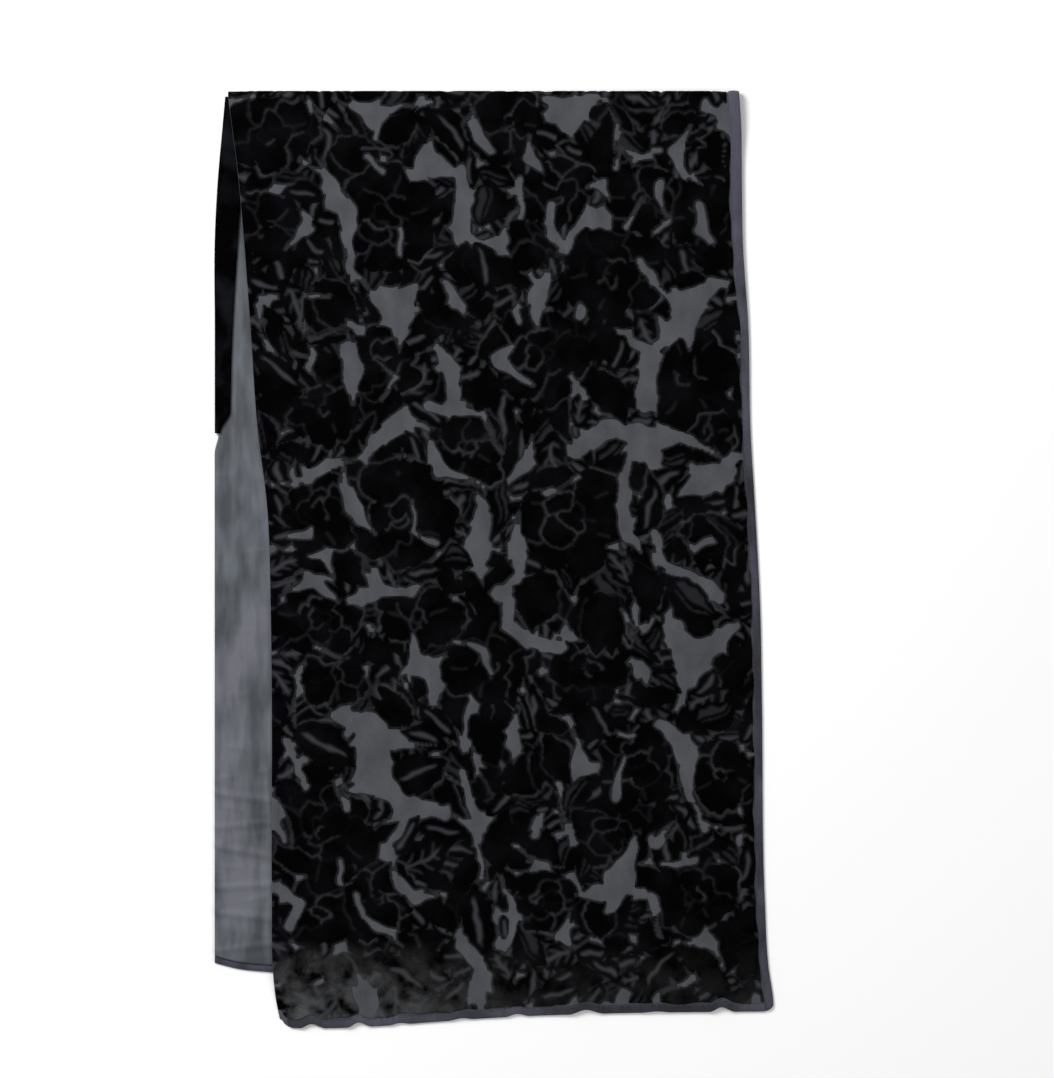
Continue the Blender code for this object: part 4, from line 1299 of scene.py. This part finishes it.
@finish_named("sheer_slate_ground")
def ground_finish(name):
    """Sheer slate ground: crossed threads over a mottle of what lies below."""
    made = Finish(name, 0.8, sheen=0.12, sheen_tint=(0.8, 0.85, 1.0))
    weave = made.group("Crossed threads", Threads=1100.0, Slubs=0.7)
    streak = made.group("Soft streaks", Streaks=45.0, Stretch=1.6)
    share = made.math("MULTIPLY_ADD", streak["Streak"], 1.3, -0.45)
    share = made.math("MULTIPLY_ADD", weave["Thread"], 0.35, share)
    colour = made.mix(share, looks().ground_deep, looks().ground)
    return made.finish(colour, weave["Height"], 0.35, 0.0003)


@finish_named("rolled_hem_cloth")
def hem_finish(name):
    """Plain blue-grey cloth of the hems, blotched, and darker from the middle downwards."""
    made = Finish(name, 0.75, sheen=0.15, sheen_tint=(0.8, 0.82, 1.0))
    weave = made.group("Crossed threads", Threads=1300.0, Slubs=0.6)
    streak = made.group("Soft streaks", Streaks=120.0, Stretch=3.0)
    lower = made.rise(made.across_and_down()[1], HEM_DARKER_DOWN, HEM_DARKER_RISE)
    share = made.math("MULTIPLY", streak["Streak"], 0.7)
    share = made.math("MULTIPLY_ADD", weave["Thread"], 0.3, share)
    share = made.math("MULTIPLY_ADD", made.noise(13.0), 1.9, made.math("SUBTRACT", share, 0.65))
    share = made.clamp(made.math("MULTIPLY_ADD", lower, HEM_DARKER, share))
    colour = made.mix(share, looks().hem_deep, looks().hem)
    return made.finish(colour, weave["Height"], 0.4, 0.0003)


@finish_named("plain_grey_lining")
def lining_finish(name):
    """Plain grey lining with a faint cross-grain and long soft streaks of painted light and shade
    that stand in for its soft folds; the lighter wide streaks take a lilac cast.
    """
    made = Finish(name, 0.55, sheen=0.20, sheen_roughness=0.4, sheen_tint=(0.9, 0.93, 1.0))
    weave = made.group("Crossed threads", Threads=1500.0, Slubs=0.35)
    streak = made.group("Soft streaks", Streaks=60.0, Stretch=4.0)
    wide = made.group("Soft streaks", Streaks=17.0, Stretch=1.8)
    # Painted light and shade of soft folds: the streaks mix the lining's colour with its painted
    # fold shade
    share = made.math("MULTIPLY_ADD", streak["Streak"], 2.2, -0.80)
    share = made.math("MULTIPLY_ADD", wide["Streak"], 1.9, made.math("SUBTRACT", share, 0.75))
    share = made.math("MULTIPLY_ADD", weave["Thread"], 0.08, share)
    colour = made.mix(made.clamp(share), looks().lining_fold_shade, looks().lining)
    cast = made.math("MULTIPLY_ADD", wide["Streak"], 3.4, -1.45)
    lilac = made.mix(share, looks().lining_fold_shade, looks().lining_lilac)
    colour = made.mix(made.clamp(cast), colour, lilac)
    return made.finish(colour, weave["Height"], 0.15, 0.0002)


@finish_named("sewing_thread")
def thread_finish(name):
    """Twisted sewing thread of the hems."""
    made = Finish(name, 0.6)
    weave = made.group("Crossed threads", Threads=3000.0, Slubs=0.8)
    colour = made.mix(weave["Thread"], looks().hem_deep, looks().thread)
    return made.finish(colour, weave["Height"], 0.3, 0.0001)


# The pieces

def upper_shell(across, path, low, high):
    """A shell of the upper half between two offsets from its middle surface."""
    middle = upper_middle(across, path)
    normal = normals_of(upper_middle, across, path)
    points, faces = walled_mesh(middle + np.asarray(high)[..., None] * normal,
                                middle + np.asarray(low)[..., None] * normal)
    spots = cloth_places(across, path)
    return points, faces, np.concatenate((spots, spots))


RING_STEPS = 12
GROUND_INSET = HEM_SHOWS * 0.8
END_HEM_POINTS = 221
LOWER_HEM_POINTS = 161


def ring_rows(end_path):
    """Places along the cloth: the ring first, then the flat part up to each column's end."""
    rows = sizes().ground_rows
    ring = np.linspace(-np.pi * FOLD_MID_RADIUS, 0.0, RING_STEPS + 1)[:-1]
    ring = np.repeat(ring[:, None], end_path.shape[-1], axis=1)
    part = np.linspace(0.0, 1.0, rows + 1)[:, None]
    return np.concatenate((ring, part * end_path))


def ground_offsets():
    """Lowest and highest side of the thin ground cloth, from the wall's middle."""
    low = -VELVET_THICK / 2
    return low, low + GROUND_WALL


def make_ground():
    """The sheer ground cloth of the upper half, up to under its hems."""
    part = np.linspace(0.0, 1.0, sizes().ground_columns + 1)[None, :]
    guess = between_sides(part, GROUND_INSET, UPPER_LEFT_END, UPPER_RIGHT_END)
    path = ring_rows(upper_end(guess) - GROUND_INSET - FOLD_RADIUS)
    down = FOLD_RADIUS + np.maximum(path, 0.0)
    across = between_sides(part, GROUND_INSET, down, down)
    bottom, top = ground_offsets()
    points, faces, spots = upper_shell(across, path, np.full(across.shape, bottom),
                                       np.full(across.shape, top))
    return add_piece("ground_cloth", points, faces, ground_finish(), spots,
                     replaces=("upper_layer",))


def pucker(along, phase):
    """How the stitches draw the hem in: an uneven ripple along it, from 0 to 1."""
    wave = 0.5 + 0.5 * np.sin(along * 640 + phase + 1.5 * np.sin(along * 57 + phase))
    return wave * (0.6 + 0.4 * np.sin(along * 31 + 2 * phase))


HEM_TOP_LEFT = -0.0002
HEM_COLUMNS = 8
PUCKER = 0.00035


def make_side_hem(name, edge, last_down, inward, full_top):
    """A rolled hem along one long side: an oval profile carried along the cloth's edge."""
    part = np.linspace(0.0, 1.0, HEM_COLUMNS + 1)[None, ::inward]
    offset = part * HEM_SHOWS * inward
    beside = upper_end(side(edge, last_down) + offset)
    path = ring_rows(beside - FOLD_RADIUS)
    down = FOLD_RADIUS + np.maximum(path, 0.0)
    across = side(edge, down) + part * hem_shows(down, inward) * inward
    rounded = hem_round(np.broadcast_to(part, across.shape))
    top = full_top * rounded + ground_offsets()[0] * (1 - rounded) * 0.5
    top = top - PUCKER * pucker(path, inward) * bump(part - 0.85, 0.5)
    bottom = np.full(across.shape, -HEM_THICK / 2) * rounded
    points, faces, spots = upper_shell(across, path, bottom, top)
    finish = hem_finish() if inward < 0 else ground_finish()
    return add_piece(name, points, faces, finish, spots, replaces=("upper_" + name,))


def make_end_hem():
    """The rolled hem of the short end, with the scallops at its edge."""
    part = np.linspace(0.0, 1.0, END_HEM_POINTS)[None, :]
    rows = np.linspace(0.0, 1.0, HEM_COLUMNS + 1)[:, None]
    inset = HEM_SHOWS + SEAM_GAP
    guess = between_sides(part, inset, UPPER_LEFT_END, UPPER_RIGHT_END)
    start = upper_end(guess) - HEM_SHOWS
    down = start + rows * (upper_end(guess) - start)
    across = between_sides(part, inset, down, down)
    rounded = hem_round(np.broadcast_to(rows, across.shape))
    top = HEM_THICK / 2 * rounded - PUCKER * pucker(across, 0.7) * bump(rows - 0.15, 0.5)
    bottom = -HEM_THICK / 2 * rounded
    points, faces, spots = upper_shell(across, down - FOLD_RADIUS, bottom, top)
    return add_piece("hem_end", points, faces, hem_finish(), spots,
                     replaces=("upper_hem_end",))


def hook_inset(down):
    """How far the lower half's layers stand in from their outline, to clear the hook."""
    hooked = HOOK_RADIUS + HOOK_FOOT + SEAM_GAP
    return hooked * (1 - ease((down - FLAP_END - SEAM_GAP) / EDGE_RETURN))


STRIP_SHARE = 0.15
HIDDEN_COLUMNS = 6


def lower_places(strip_columns, rows):
    """Places across and down for the lower half's layers, finer in the strip that shows."""
    strip = np.linspace(0.0, STRIP_SHARE, strip_columns + 1)[:-1]
    hidden = np.linspace(STRIP_SHARE, 1.0, HIDDEN_COLUMNS + 1)
    part = np.concatenate((strip, hidden))[None, :]
    along = np.linspace(0.0, 1.0, rows + 1)[:, None]
    start = FOLD_RADIUS + SEAM_GAP
    low = side("lower_left", LOWER_END)
    guess = low + part * (side("lower_right", LOWER_END) - low)
    last = end("lower_end", guess) - LOWER_HEM_WIDTH - SEAM_GAP
    down = start + along * (last - start)
    left = side("lower_left", down) + hook_inset(down)
    return left + part * (side("lower_right", down) - left), down


def flat_shell(across, down, bottom, top):
    """Wall between two heights over the same places."""
    place_y = FOLD_EDGE_Y - down
    upper = np.stack((across, place_y, np.broadcast_to(top, across.shape)), axis=-1)
    lower = np.stack((across, place_y, np.broadcast_to(bottom, across.shape)), axis=-1)
    points, faces = walled_mesh(upper, lower)
    spots = cloth_places(across, down)
    return points, faces, np.concatenate((spots, spots))


# Ripples of the lining, how far they and the fine wrinkles run below the upper half, and
# where the lining lies free of the turned edge
RIPPLE_HEIGHT = 0.00012
UNDER_FADE = 0.006
FREE_FROM = 0.36
FREE_BESIDE = 0.004
LINING_COLUMNS, LINING_ROWS = 46, 380
VELVET_COLUMNS, VELVET_ROWS = 20, 200


def lining_ripple(across, down):
    """Soft ripples along the strip of lining: two slow waves across it, uneven along it."""
    wave = np.sin(across * 420 + 2.2 * np.sin(down * 9)) * (0.6 + 0.4 * np.sin(down * 17 + 1))
    wave = wave + 0.6 * np.sin(across * 690 - 1.7 * np.sin(down * 13 + 2))
    shows = 1 - ease((across - WRINKLE_FADE_START + UNDER_FADE) / UNDER_FADE)
    return RIPPLE_HEIGHT * (1 + wave / 1.6) * shows


def make_lining():
    """The lining of the lower half, with its wrinkles and ripples where it shows."""
    across, down = lower_places(LINING_COLUMNS, LINING_ROWS)
    wrinkle = wrinkle_height(across, down)
    shows = 1 - ease((across - side("upper_left", down) + UNDER_FADE) / UNDER_FADE)
    partly = ease(0.55 + 0.9 * np.sin(150 * across + 61 * down) * np.sin(47 * down + 1))
    fine = wrinkle_height(across, down, FINE_WRINKLES) * partly
    fine = (fine + lining_ripple(across, down)) * shows
    free = (down > FREE_FROM) | (across > side("flap_right", down) + FREE_BESIDE)
    fine = fine * free
    points, faces, spots = flat_shell(across, down, LINING_BOTTOM + wrinkle,
                                      LINING_TOP + wrinkle + fine)
    return add_piece("lining_cloth", points, faces, lining_finish(), spots,
                     replaces=("lining",))


def make_under_velvet():
    """The velvet of the lower half, flat on the surface and raised under the wrinkles."""
    across, down = lower_places(VELVET_COLUMNS, VELVET_ROWS)
    wrinkle = wrinkle_height(across, down)
    points, faces, spots = flat_shell(across, down, 0.0, VELVET_THICK + wrinkle)
    return add_piece("under_velvet", points, faces, pile_finish(), spots,
                     replaces=("lower_layer",))


def make_lower_hem():
    """The lower half's hem: velvet and lining turned in together, round at its edge."""
    part = np.linspace(0.0, 1.0, LOWER_HEM_POINTS)[None, :]
    rows = np.linspace(0.0, 1.0, HEM_COLUMNS + 1)[:, None]
    low = side("lower_left", LOWER_END)
    across = np.repeat(low + part * (side("lower_right", LOWER_END) - low), len(rows), axis=0)
    down = end("lower_end", across) - LOWER_HEM_WIDTH * (1 - rows)
    top = LINING_TOP * hem_round(rows) - PUCKER * pucker(across, 2.0) * bump(rows - 0.1, 0.5)
    points, faces, spots = flat_shell(across, down, 0.0, top)
    return add_piece("lower_hem", points, faces, hem_finish(), spots,
                     replaces=("lower_hem_end",))


def flap_middle(path, down):
    """Middle of the turned edge: foot, half ring round the edge, then the flap on top.

    path runs over the cut of the piece: -1 to 0 the foot, 0 to 1 the ring, 1 to 2 the flap.
    """
    path, down = np.broadcast_arrays(path, down)
    centre = side("lower_left", down) + HOOK_RADIUS
    angle = np.pi * np.clip(path, 0.0, 1.0)
    taper = ease((FLAP_END - down) / FLAP_TAPER)
    width = (side("flap_right", down) - centre) * (FLAP_TIP + (1 - FLAP_TIP) * taper)
    along_foot = np.clip(-path, 0.0, 1.0) * HOOK_FOOT
    along_flap = np.clip(path - 1.0, 0.0, 1.0) * width
    across = centre + along_foot + along_flap - HOOK_MID_RADIUS * np.sin(angle)
    height = HOOK_RADIUS - HOOK_MID_RADIUS * np.cos(angle)
    return np.stack((across, FOLD_EDGE_Y - down, height), axis=-1)


HOOK_STEPS = 12
FLAP_STEPS = 8
FLAP_ROWS = 150
TURNED_PLACES = 0.02


def make_turned_velvet():
    """The velvet edge turned over onto the lining: a foot, a half ring and a flap."""
    ring = np.linspace(0.0, 1.0, HOOK_STEPS + 1)
    flap = np.linspace(1.0, 2.0, FLAP_STEPS + 1)[1:]
    path = np.concatenate(((-1.0,), ring, flap))[None, :]
    down = np.linspace(FLAP_START, FLAP_END, FLAP_ROWS)[:, None]
    middle = flap_middle(path, down)
    outward = 0.5 * VELVET_THICK * normals_of(flap_middle, path, down, FLAP_SAMPLE)
    points, faces = walled_mesh(middle + outward, middle - outward)
    across = np.broadcast_to(TURNED_PLACES * path, middle.shape[:2])
    spots = cloth_places(across, np.broadcast_to(down, middle.shape[:2]))
    return add_piece("turned_velvet", points, faces, turned_lit_finish(),
                     np.concatenate((spots, spots)), replaces=("turned_edge",))


STITCH_STEP = 0.0062
STITCH_LENGTH = 0.0030
STITCH_RADIUS = 0.00028
STITCH_SLANT = 0.35
STITCH_PLACE = 0.93
END_STITCHES = (-0.195, 0.262)
SIDE_STITCHES = (0.03, 0.912)


def end_stitches():
    """Middle points and directions of the stitches on the inner side of the end's hem."""
    across = np.arange(*END_STITCHES, STITCH_STEP)
    down = upper_end(across) - HEM_SHOWS * STITCH_PLACE
    return across, down, np.full(len(across), STITCH_SLANT)


def side_stitches():
    """Middle points and directions of the stitches on the inner side of the right hem."""
    down = np.arange(*SIDE_STITCHES, STITCH_STEP)
    across = side("upper_right", down) - hem_shows(down, -1) * STITCH_PLACE
    return across, down, np.full(len(down), 1.57 + STITCH_SLANT)


def make_stitches():
    """Small slanted stitches: a half-oval arc of thread with a round section, repeated."""
    both = zip(side_stitches(), end_stitches())
    across, down, turn = (np.concatenate(parts) for parts in both)
    random = np.random.RandomState(3)
    turn = turn + random.uniform(-0.12, 0.12, len(turn))
    size = random.uniform(0.85, 1.15, len(turn))
    t = np.linspace(0, np.pi, 6)
    around = np.linspace(0, 2 * np.pi, 6)[:-1]
    middle = upper_middle(across, down - FOLD_RADIUS)
    along = -np.cos(t)[None, :] * 0.5 * STITCH_LENGTH * size[:, None]
    lift = 0.0009 + 0.0006 * np.sin(t)[None, :] + np.zeros_like(along)
    narrow = np.sqrt(np.clip(np.sin(t), 0.05, 1))[None, :, None]
    over = STITCH_RADIUS * narrow * np.cos(around)[None, None, :]
    rise = STITCH_RADIUS * narrow * np.sin(around)[None, None, :]
    cos, sin = np.cos(turn)[:, None, None], np.sin(turn)[:, None, None]
    x = middle[:, 0, None, None] + along[..., None] * cos - over * sin
    y = middle[:, 1, None, None] + along[..., None] * sin + over * cos
    z = middle[:, 2, None, None] + lift[..., None] + rise
    points = np.stack(np.broadcast_arrays(x, y, z), axis=-1)
    count, rings, spokes = points.shape[:3]
    number = np.arange(count * rings * spokes).reshape(count, rings, spokes)
    beside = np.roll(number, -1, axis=2)
    faces = np.stack((number[:, :-1], number[:, 1:], beside[:, 1:], beside[:, :-1]), axis=-1)
    flat = points.reshape(-1, 3)
    spots = cloth_places(flat[:, 0], FOLD_EDGE_Y - flat[:, 1])
    return add_piece("hem_stitches", flat, faces.reshape(-1, 4), thread_finish(), spots)


# Settings that a user would change

class StoleSizes(bpy.types.PropertyGroup):
    """Sizes of the cloth and its pile."""
    pile_height: bpy.props.FloatProperty(
        name="Pile height", description="How far the pile stands above the sheer ground",
        default=0.0013, min=0.0002, max=0.003, unit="LENGTH")
    ground_columns: bpy.props.IntProperty(
        name="Ground columns", description="Divisions of the ground cloth across the stole",
        default=128, min=20, max=400)
    ground_rows: bpy.props.IntProperty(
        name="Ground rows", description="Divisions of the ground cloth along the stole",
        default=250, min=40, max=800)
    camera_height: bpy.props.FloatProperty(
        name="Camera height", description="Height of the camera above the surface",
        default=4.0, min=1.0, max=10.0, unit="LENGTH")


def colour(name, description, default):
    """A colour that a user can change."""
    return bpy.props.FloatVectorProperty(
        name=name, description=description, subtype="COLOR", size=3, min=0.0, max=1.0,
        default=default)


class StoleLooks(bpy.types.PropertyGroup):
    """Colours of the cloths."""
    pile: colour("Pile", "Black velvet pile", (0.0010, 0.0010, 0.0012))
    # Painted sheen of the pile where its nap leans to the light
    pile_painted_sheen: colour("Brushed pile", "Pile where the nap leans to the light",
                         (0.0034, 0.0034, 0.0040))
    # Painted sheen of the turned edge, lighter than the rest of the pile as it leans to the light
    pile_turned_sheen: colour("Turned pile painted sheen", "Pile of the turned edge, which leans to the light",
                        (0.0075, 0.0080, 0.0100))
    pile_rubbed: colour("Rubbed pile", "Pile worn thin near the short end",
                        (0.064, 0.065, 0.067))
    burnt_line: colour("Burnt line", "Ground that shows in the fine burnt lines",
                       (0.041, 0.042, 0.047))
    ground: colour("Ground", "Sheer slate ground", (0.074, 0.0785, 0.088))
    ground_deep: colour("Deep ground", "Sheer ground where it lies closer to the dark below",
                        (0.042, 0.044, 0.051))
    hem: colour("Hem", "Plain blue-grey hem", (0.062, 0.064, 0.086))
    hem_deep: colour("Deep hem", "Hem in the shade of its roll", (0.014, 0.015, 0.021))
    lining: colour("Lining", "Plain grey lining", (0.117, 0.130, 0.147))
    lining_lilac: colour("Lilac cast", "Lining where it takes a warmer, lilac cast",
                         (0.123, 0.121, 0.144))
    # Painted shade between the lit fold streaks of the lining
    lining_fold_shade: colour("Lining fold shade", "Lining between its streaks", (0.046, 0.052, 0.061))
    thread: colour("Thread", "Sewing thread of the hems", (0.10, 0.10, 0.13))
    floor: colour("Floor", "Pale plain floor", (0.95, 0.95, 0.95))


# One operator for each piece or group of like pieces

class STOLE_OT_under_layers(bpy.types.Operator):
    """Makes the lower half: its velvet, lining, hem and the edge turned over"""
    bl_idname = "stole.under_layers"
    bl_label = "Lower half"

    def execute(self, context):
        velvet = make_under_velvet()
        hem = make_lower_hem()
        turned = make_turned_velvet()
        lining = make_lining()
        return {"FINISHED"}


class STOLE_OT_upper_cloth(bpy.types.Operator):
    """Makes the upper half: its sheer ground, rolled hems, stitches and raised pile"""
    bl_idname = "stole.upper_cloth"
    bl_label = "Upper half"

    def execute(self, context):
        ground = make_ground()
        hems = [
            make_side_hem("hem_left", "upper_left", UPPER_LEFT_END, 1, HEM_TOP_LEFT),
            make_side_hem("hem_right", "upper_right", UPPER_RIGHT_END, -1, HEM_THICK / 2),
            make_end_hem(), make_stitches()]
        pattern = main_pattern()
        close_slits(pattern)
        trim_to_cloth(pattern)
        clear_specks(pattern)
        top = ground_offsets()[1]
        piles = [
            add_pile("pile_" + name, pattern, kinds, upper_middle, sizes().pile_height, top,
                     pile_finish())
            for name, kinds in (("roses", (ROSE,)), ("full_roses", (BIG_ROSE,)),
                                ("blossoms", (BLOSSOM,)), ("leaves", (LEAF, STEM)),
                                ("sprigs", (SPRIG,)), ("small_sprigs", (SMALL_SPRIG,)))]
        return {"FINISHED"}


# The stage
PHOTO_HEIGHT = 1078
VIEW_MIDDLE = (0.0335, 0.0208)
SENSOR = 36.0
FLOOR_REACH = 8.0
FLOOR_HEIGHT = -0.0002
SKY_STRENGTH = 0.44
Light = namedtuple("Light", "name place size power")
LIGHTS = (
    Light("key_light", (-1.7, 1.5, 2.3), 1.6, 90.0),
    Light("fill_light", (1.9, -0.8, 2.8), 2.4, 20.0),
)


def add_area_light(name, place, size, power):
    """A round soft light that points to the middle of the surface."""
    light = bpy.data.lights.new(name, "AREA")
    light.shape = "DISK"
    light.size = size
    light.energy = power
    lamp = bpy.data.objects.new(name, light)
    bpy.context.scene.collection.objects.link(lamp)
    lamp.location = place
    flat = np.hypot(place[0], place[1])
    lamp.rotation_euler = (np.arctan2(flat, place[2]), 0.0, np.arctan2(place[0], -place[1]))


class STOLE_OT_stage(bpy.types.Operator):
    """Makes the pale floor, the soft studio light and the camera straight above"""
    bl_idname = "stole.stage"
    bl_label = "Stage"

    def execute(self, context):
        scene = context.scene
        mesh = bpy.data.meshes.new("floor")
        corners = [(x * FLOOR_REACH, y * FLOOR_REACH, FLOOR_HEIGHT)
                   for x, y in ((-1, -1), (1, -1), (1, 1), (-1, 1))]
        mesh.from_pydata(corners, [], [(0, 1, 2, 3)])
        floor_finish = bpy.data.materials.new("pale_floor")
        floor_finish.use_nodes = True
        shader = floor_finish.node_tree.nodes["Principled BSDF"]
        shader.inputs["Base Color"].default_value = (*looks().floor, 1.0)
        shader.inputs["Roughness"].default_value = 0.9
        mesh.materials.append(floor_finish)
        floor = bpy.data.objects.new("floor", mesh)
        scene.collection.objects.link(floor)

        world = bpy.data.worlds.new("studio")
        world.use_nodes = True
        sky = world.node_tree.nodes["Background"]
        sky.inputs["Color"].default_value = (1.0, 1.0, 1.0, 1.0)
        sky.inputs["Strength"].default_value = SKY_STRENGTH
        scene.world = world
        for light in LIGHTS:
            add_area_light(*light)
        scene.view_settings.view_transform = "Standard"

        camera = bpy.data.cameras.new("camera")
        height = sizes().camera_height
        camera.sensor_width = SENSOR
        camera.lens = SENSOR * height / (PHOTO_HEIGHT * METRES_PER_PIXEL)
        camera.clip_start, camera.clip_end = 0.1, 50.0
        eye = bpy.data.objects.new("camera", camera)
        eye.location = (*VIEW_MIDDLE, height)
        scene.collection.objects.link(eye)
        scene.camera = eye
        return {"FINISHED"}


class STOLE_PT_panel(bpy.types.Panel):
    """Lists the steps that make the stole"""
    bl_label = "Evening stole"
    bl_idname = "STOLE_PT_panel"
    bl_space_type = "VIEW_3D"
    bl_region_type = "UI"
    bl_category = "Stole"

    def draw(self, context):
        for operator in OPERATORS:
            self.layout.operator(operator.bl_idname)
        for settings in (context.scene.stole_sizes, context.scene.stole_looks):
            box = self.layout.box()
            for name in settings.bl_rna.properties.keys():
                if name not in ("rna_type", "name"):
                    box.prop(settings, name)


OPERATORS = (STOLE_OT_under_layers, STOLE_OT_upper_cloth, STOLE_OT_stage)
CLASSES = (StoleSizes, StoleLooks, *OPERATORS, STOLE_PT_panel)


def register():
    """Registers the classes and hangs the settings on the scene."""
    for made in CLASSES:
        bpy.utils.register_class(made)
    bpy.types.Scene.stole_sizes = bpy.props.PointerProperty(type=StoleSizes)
    bpy.types.Scene.stole_looks = bpy.props.PointerProperty(type=StoleLooks)


def unregister():
    """Takes away what register added."""
    del bpy.types.Scene.stole_looks
    del bpy.types.Scene.stole_sizes
    for made in reversed(CLASSES):
        bpy.utils.unregister_class(made)


def main():
    register()
    bpy.ops.stole.under_layers()
    bpy.ops.stole.upper_cloth()
    bpy.ops.stole.stage()


if __name__ == "__main__":
    main()
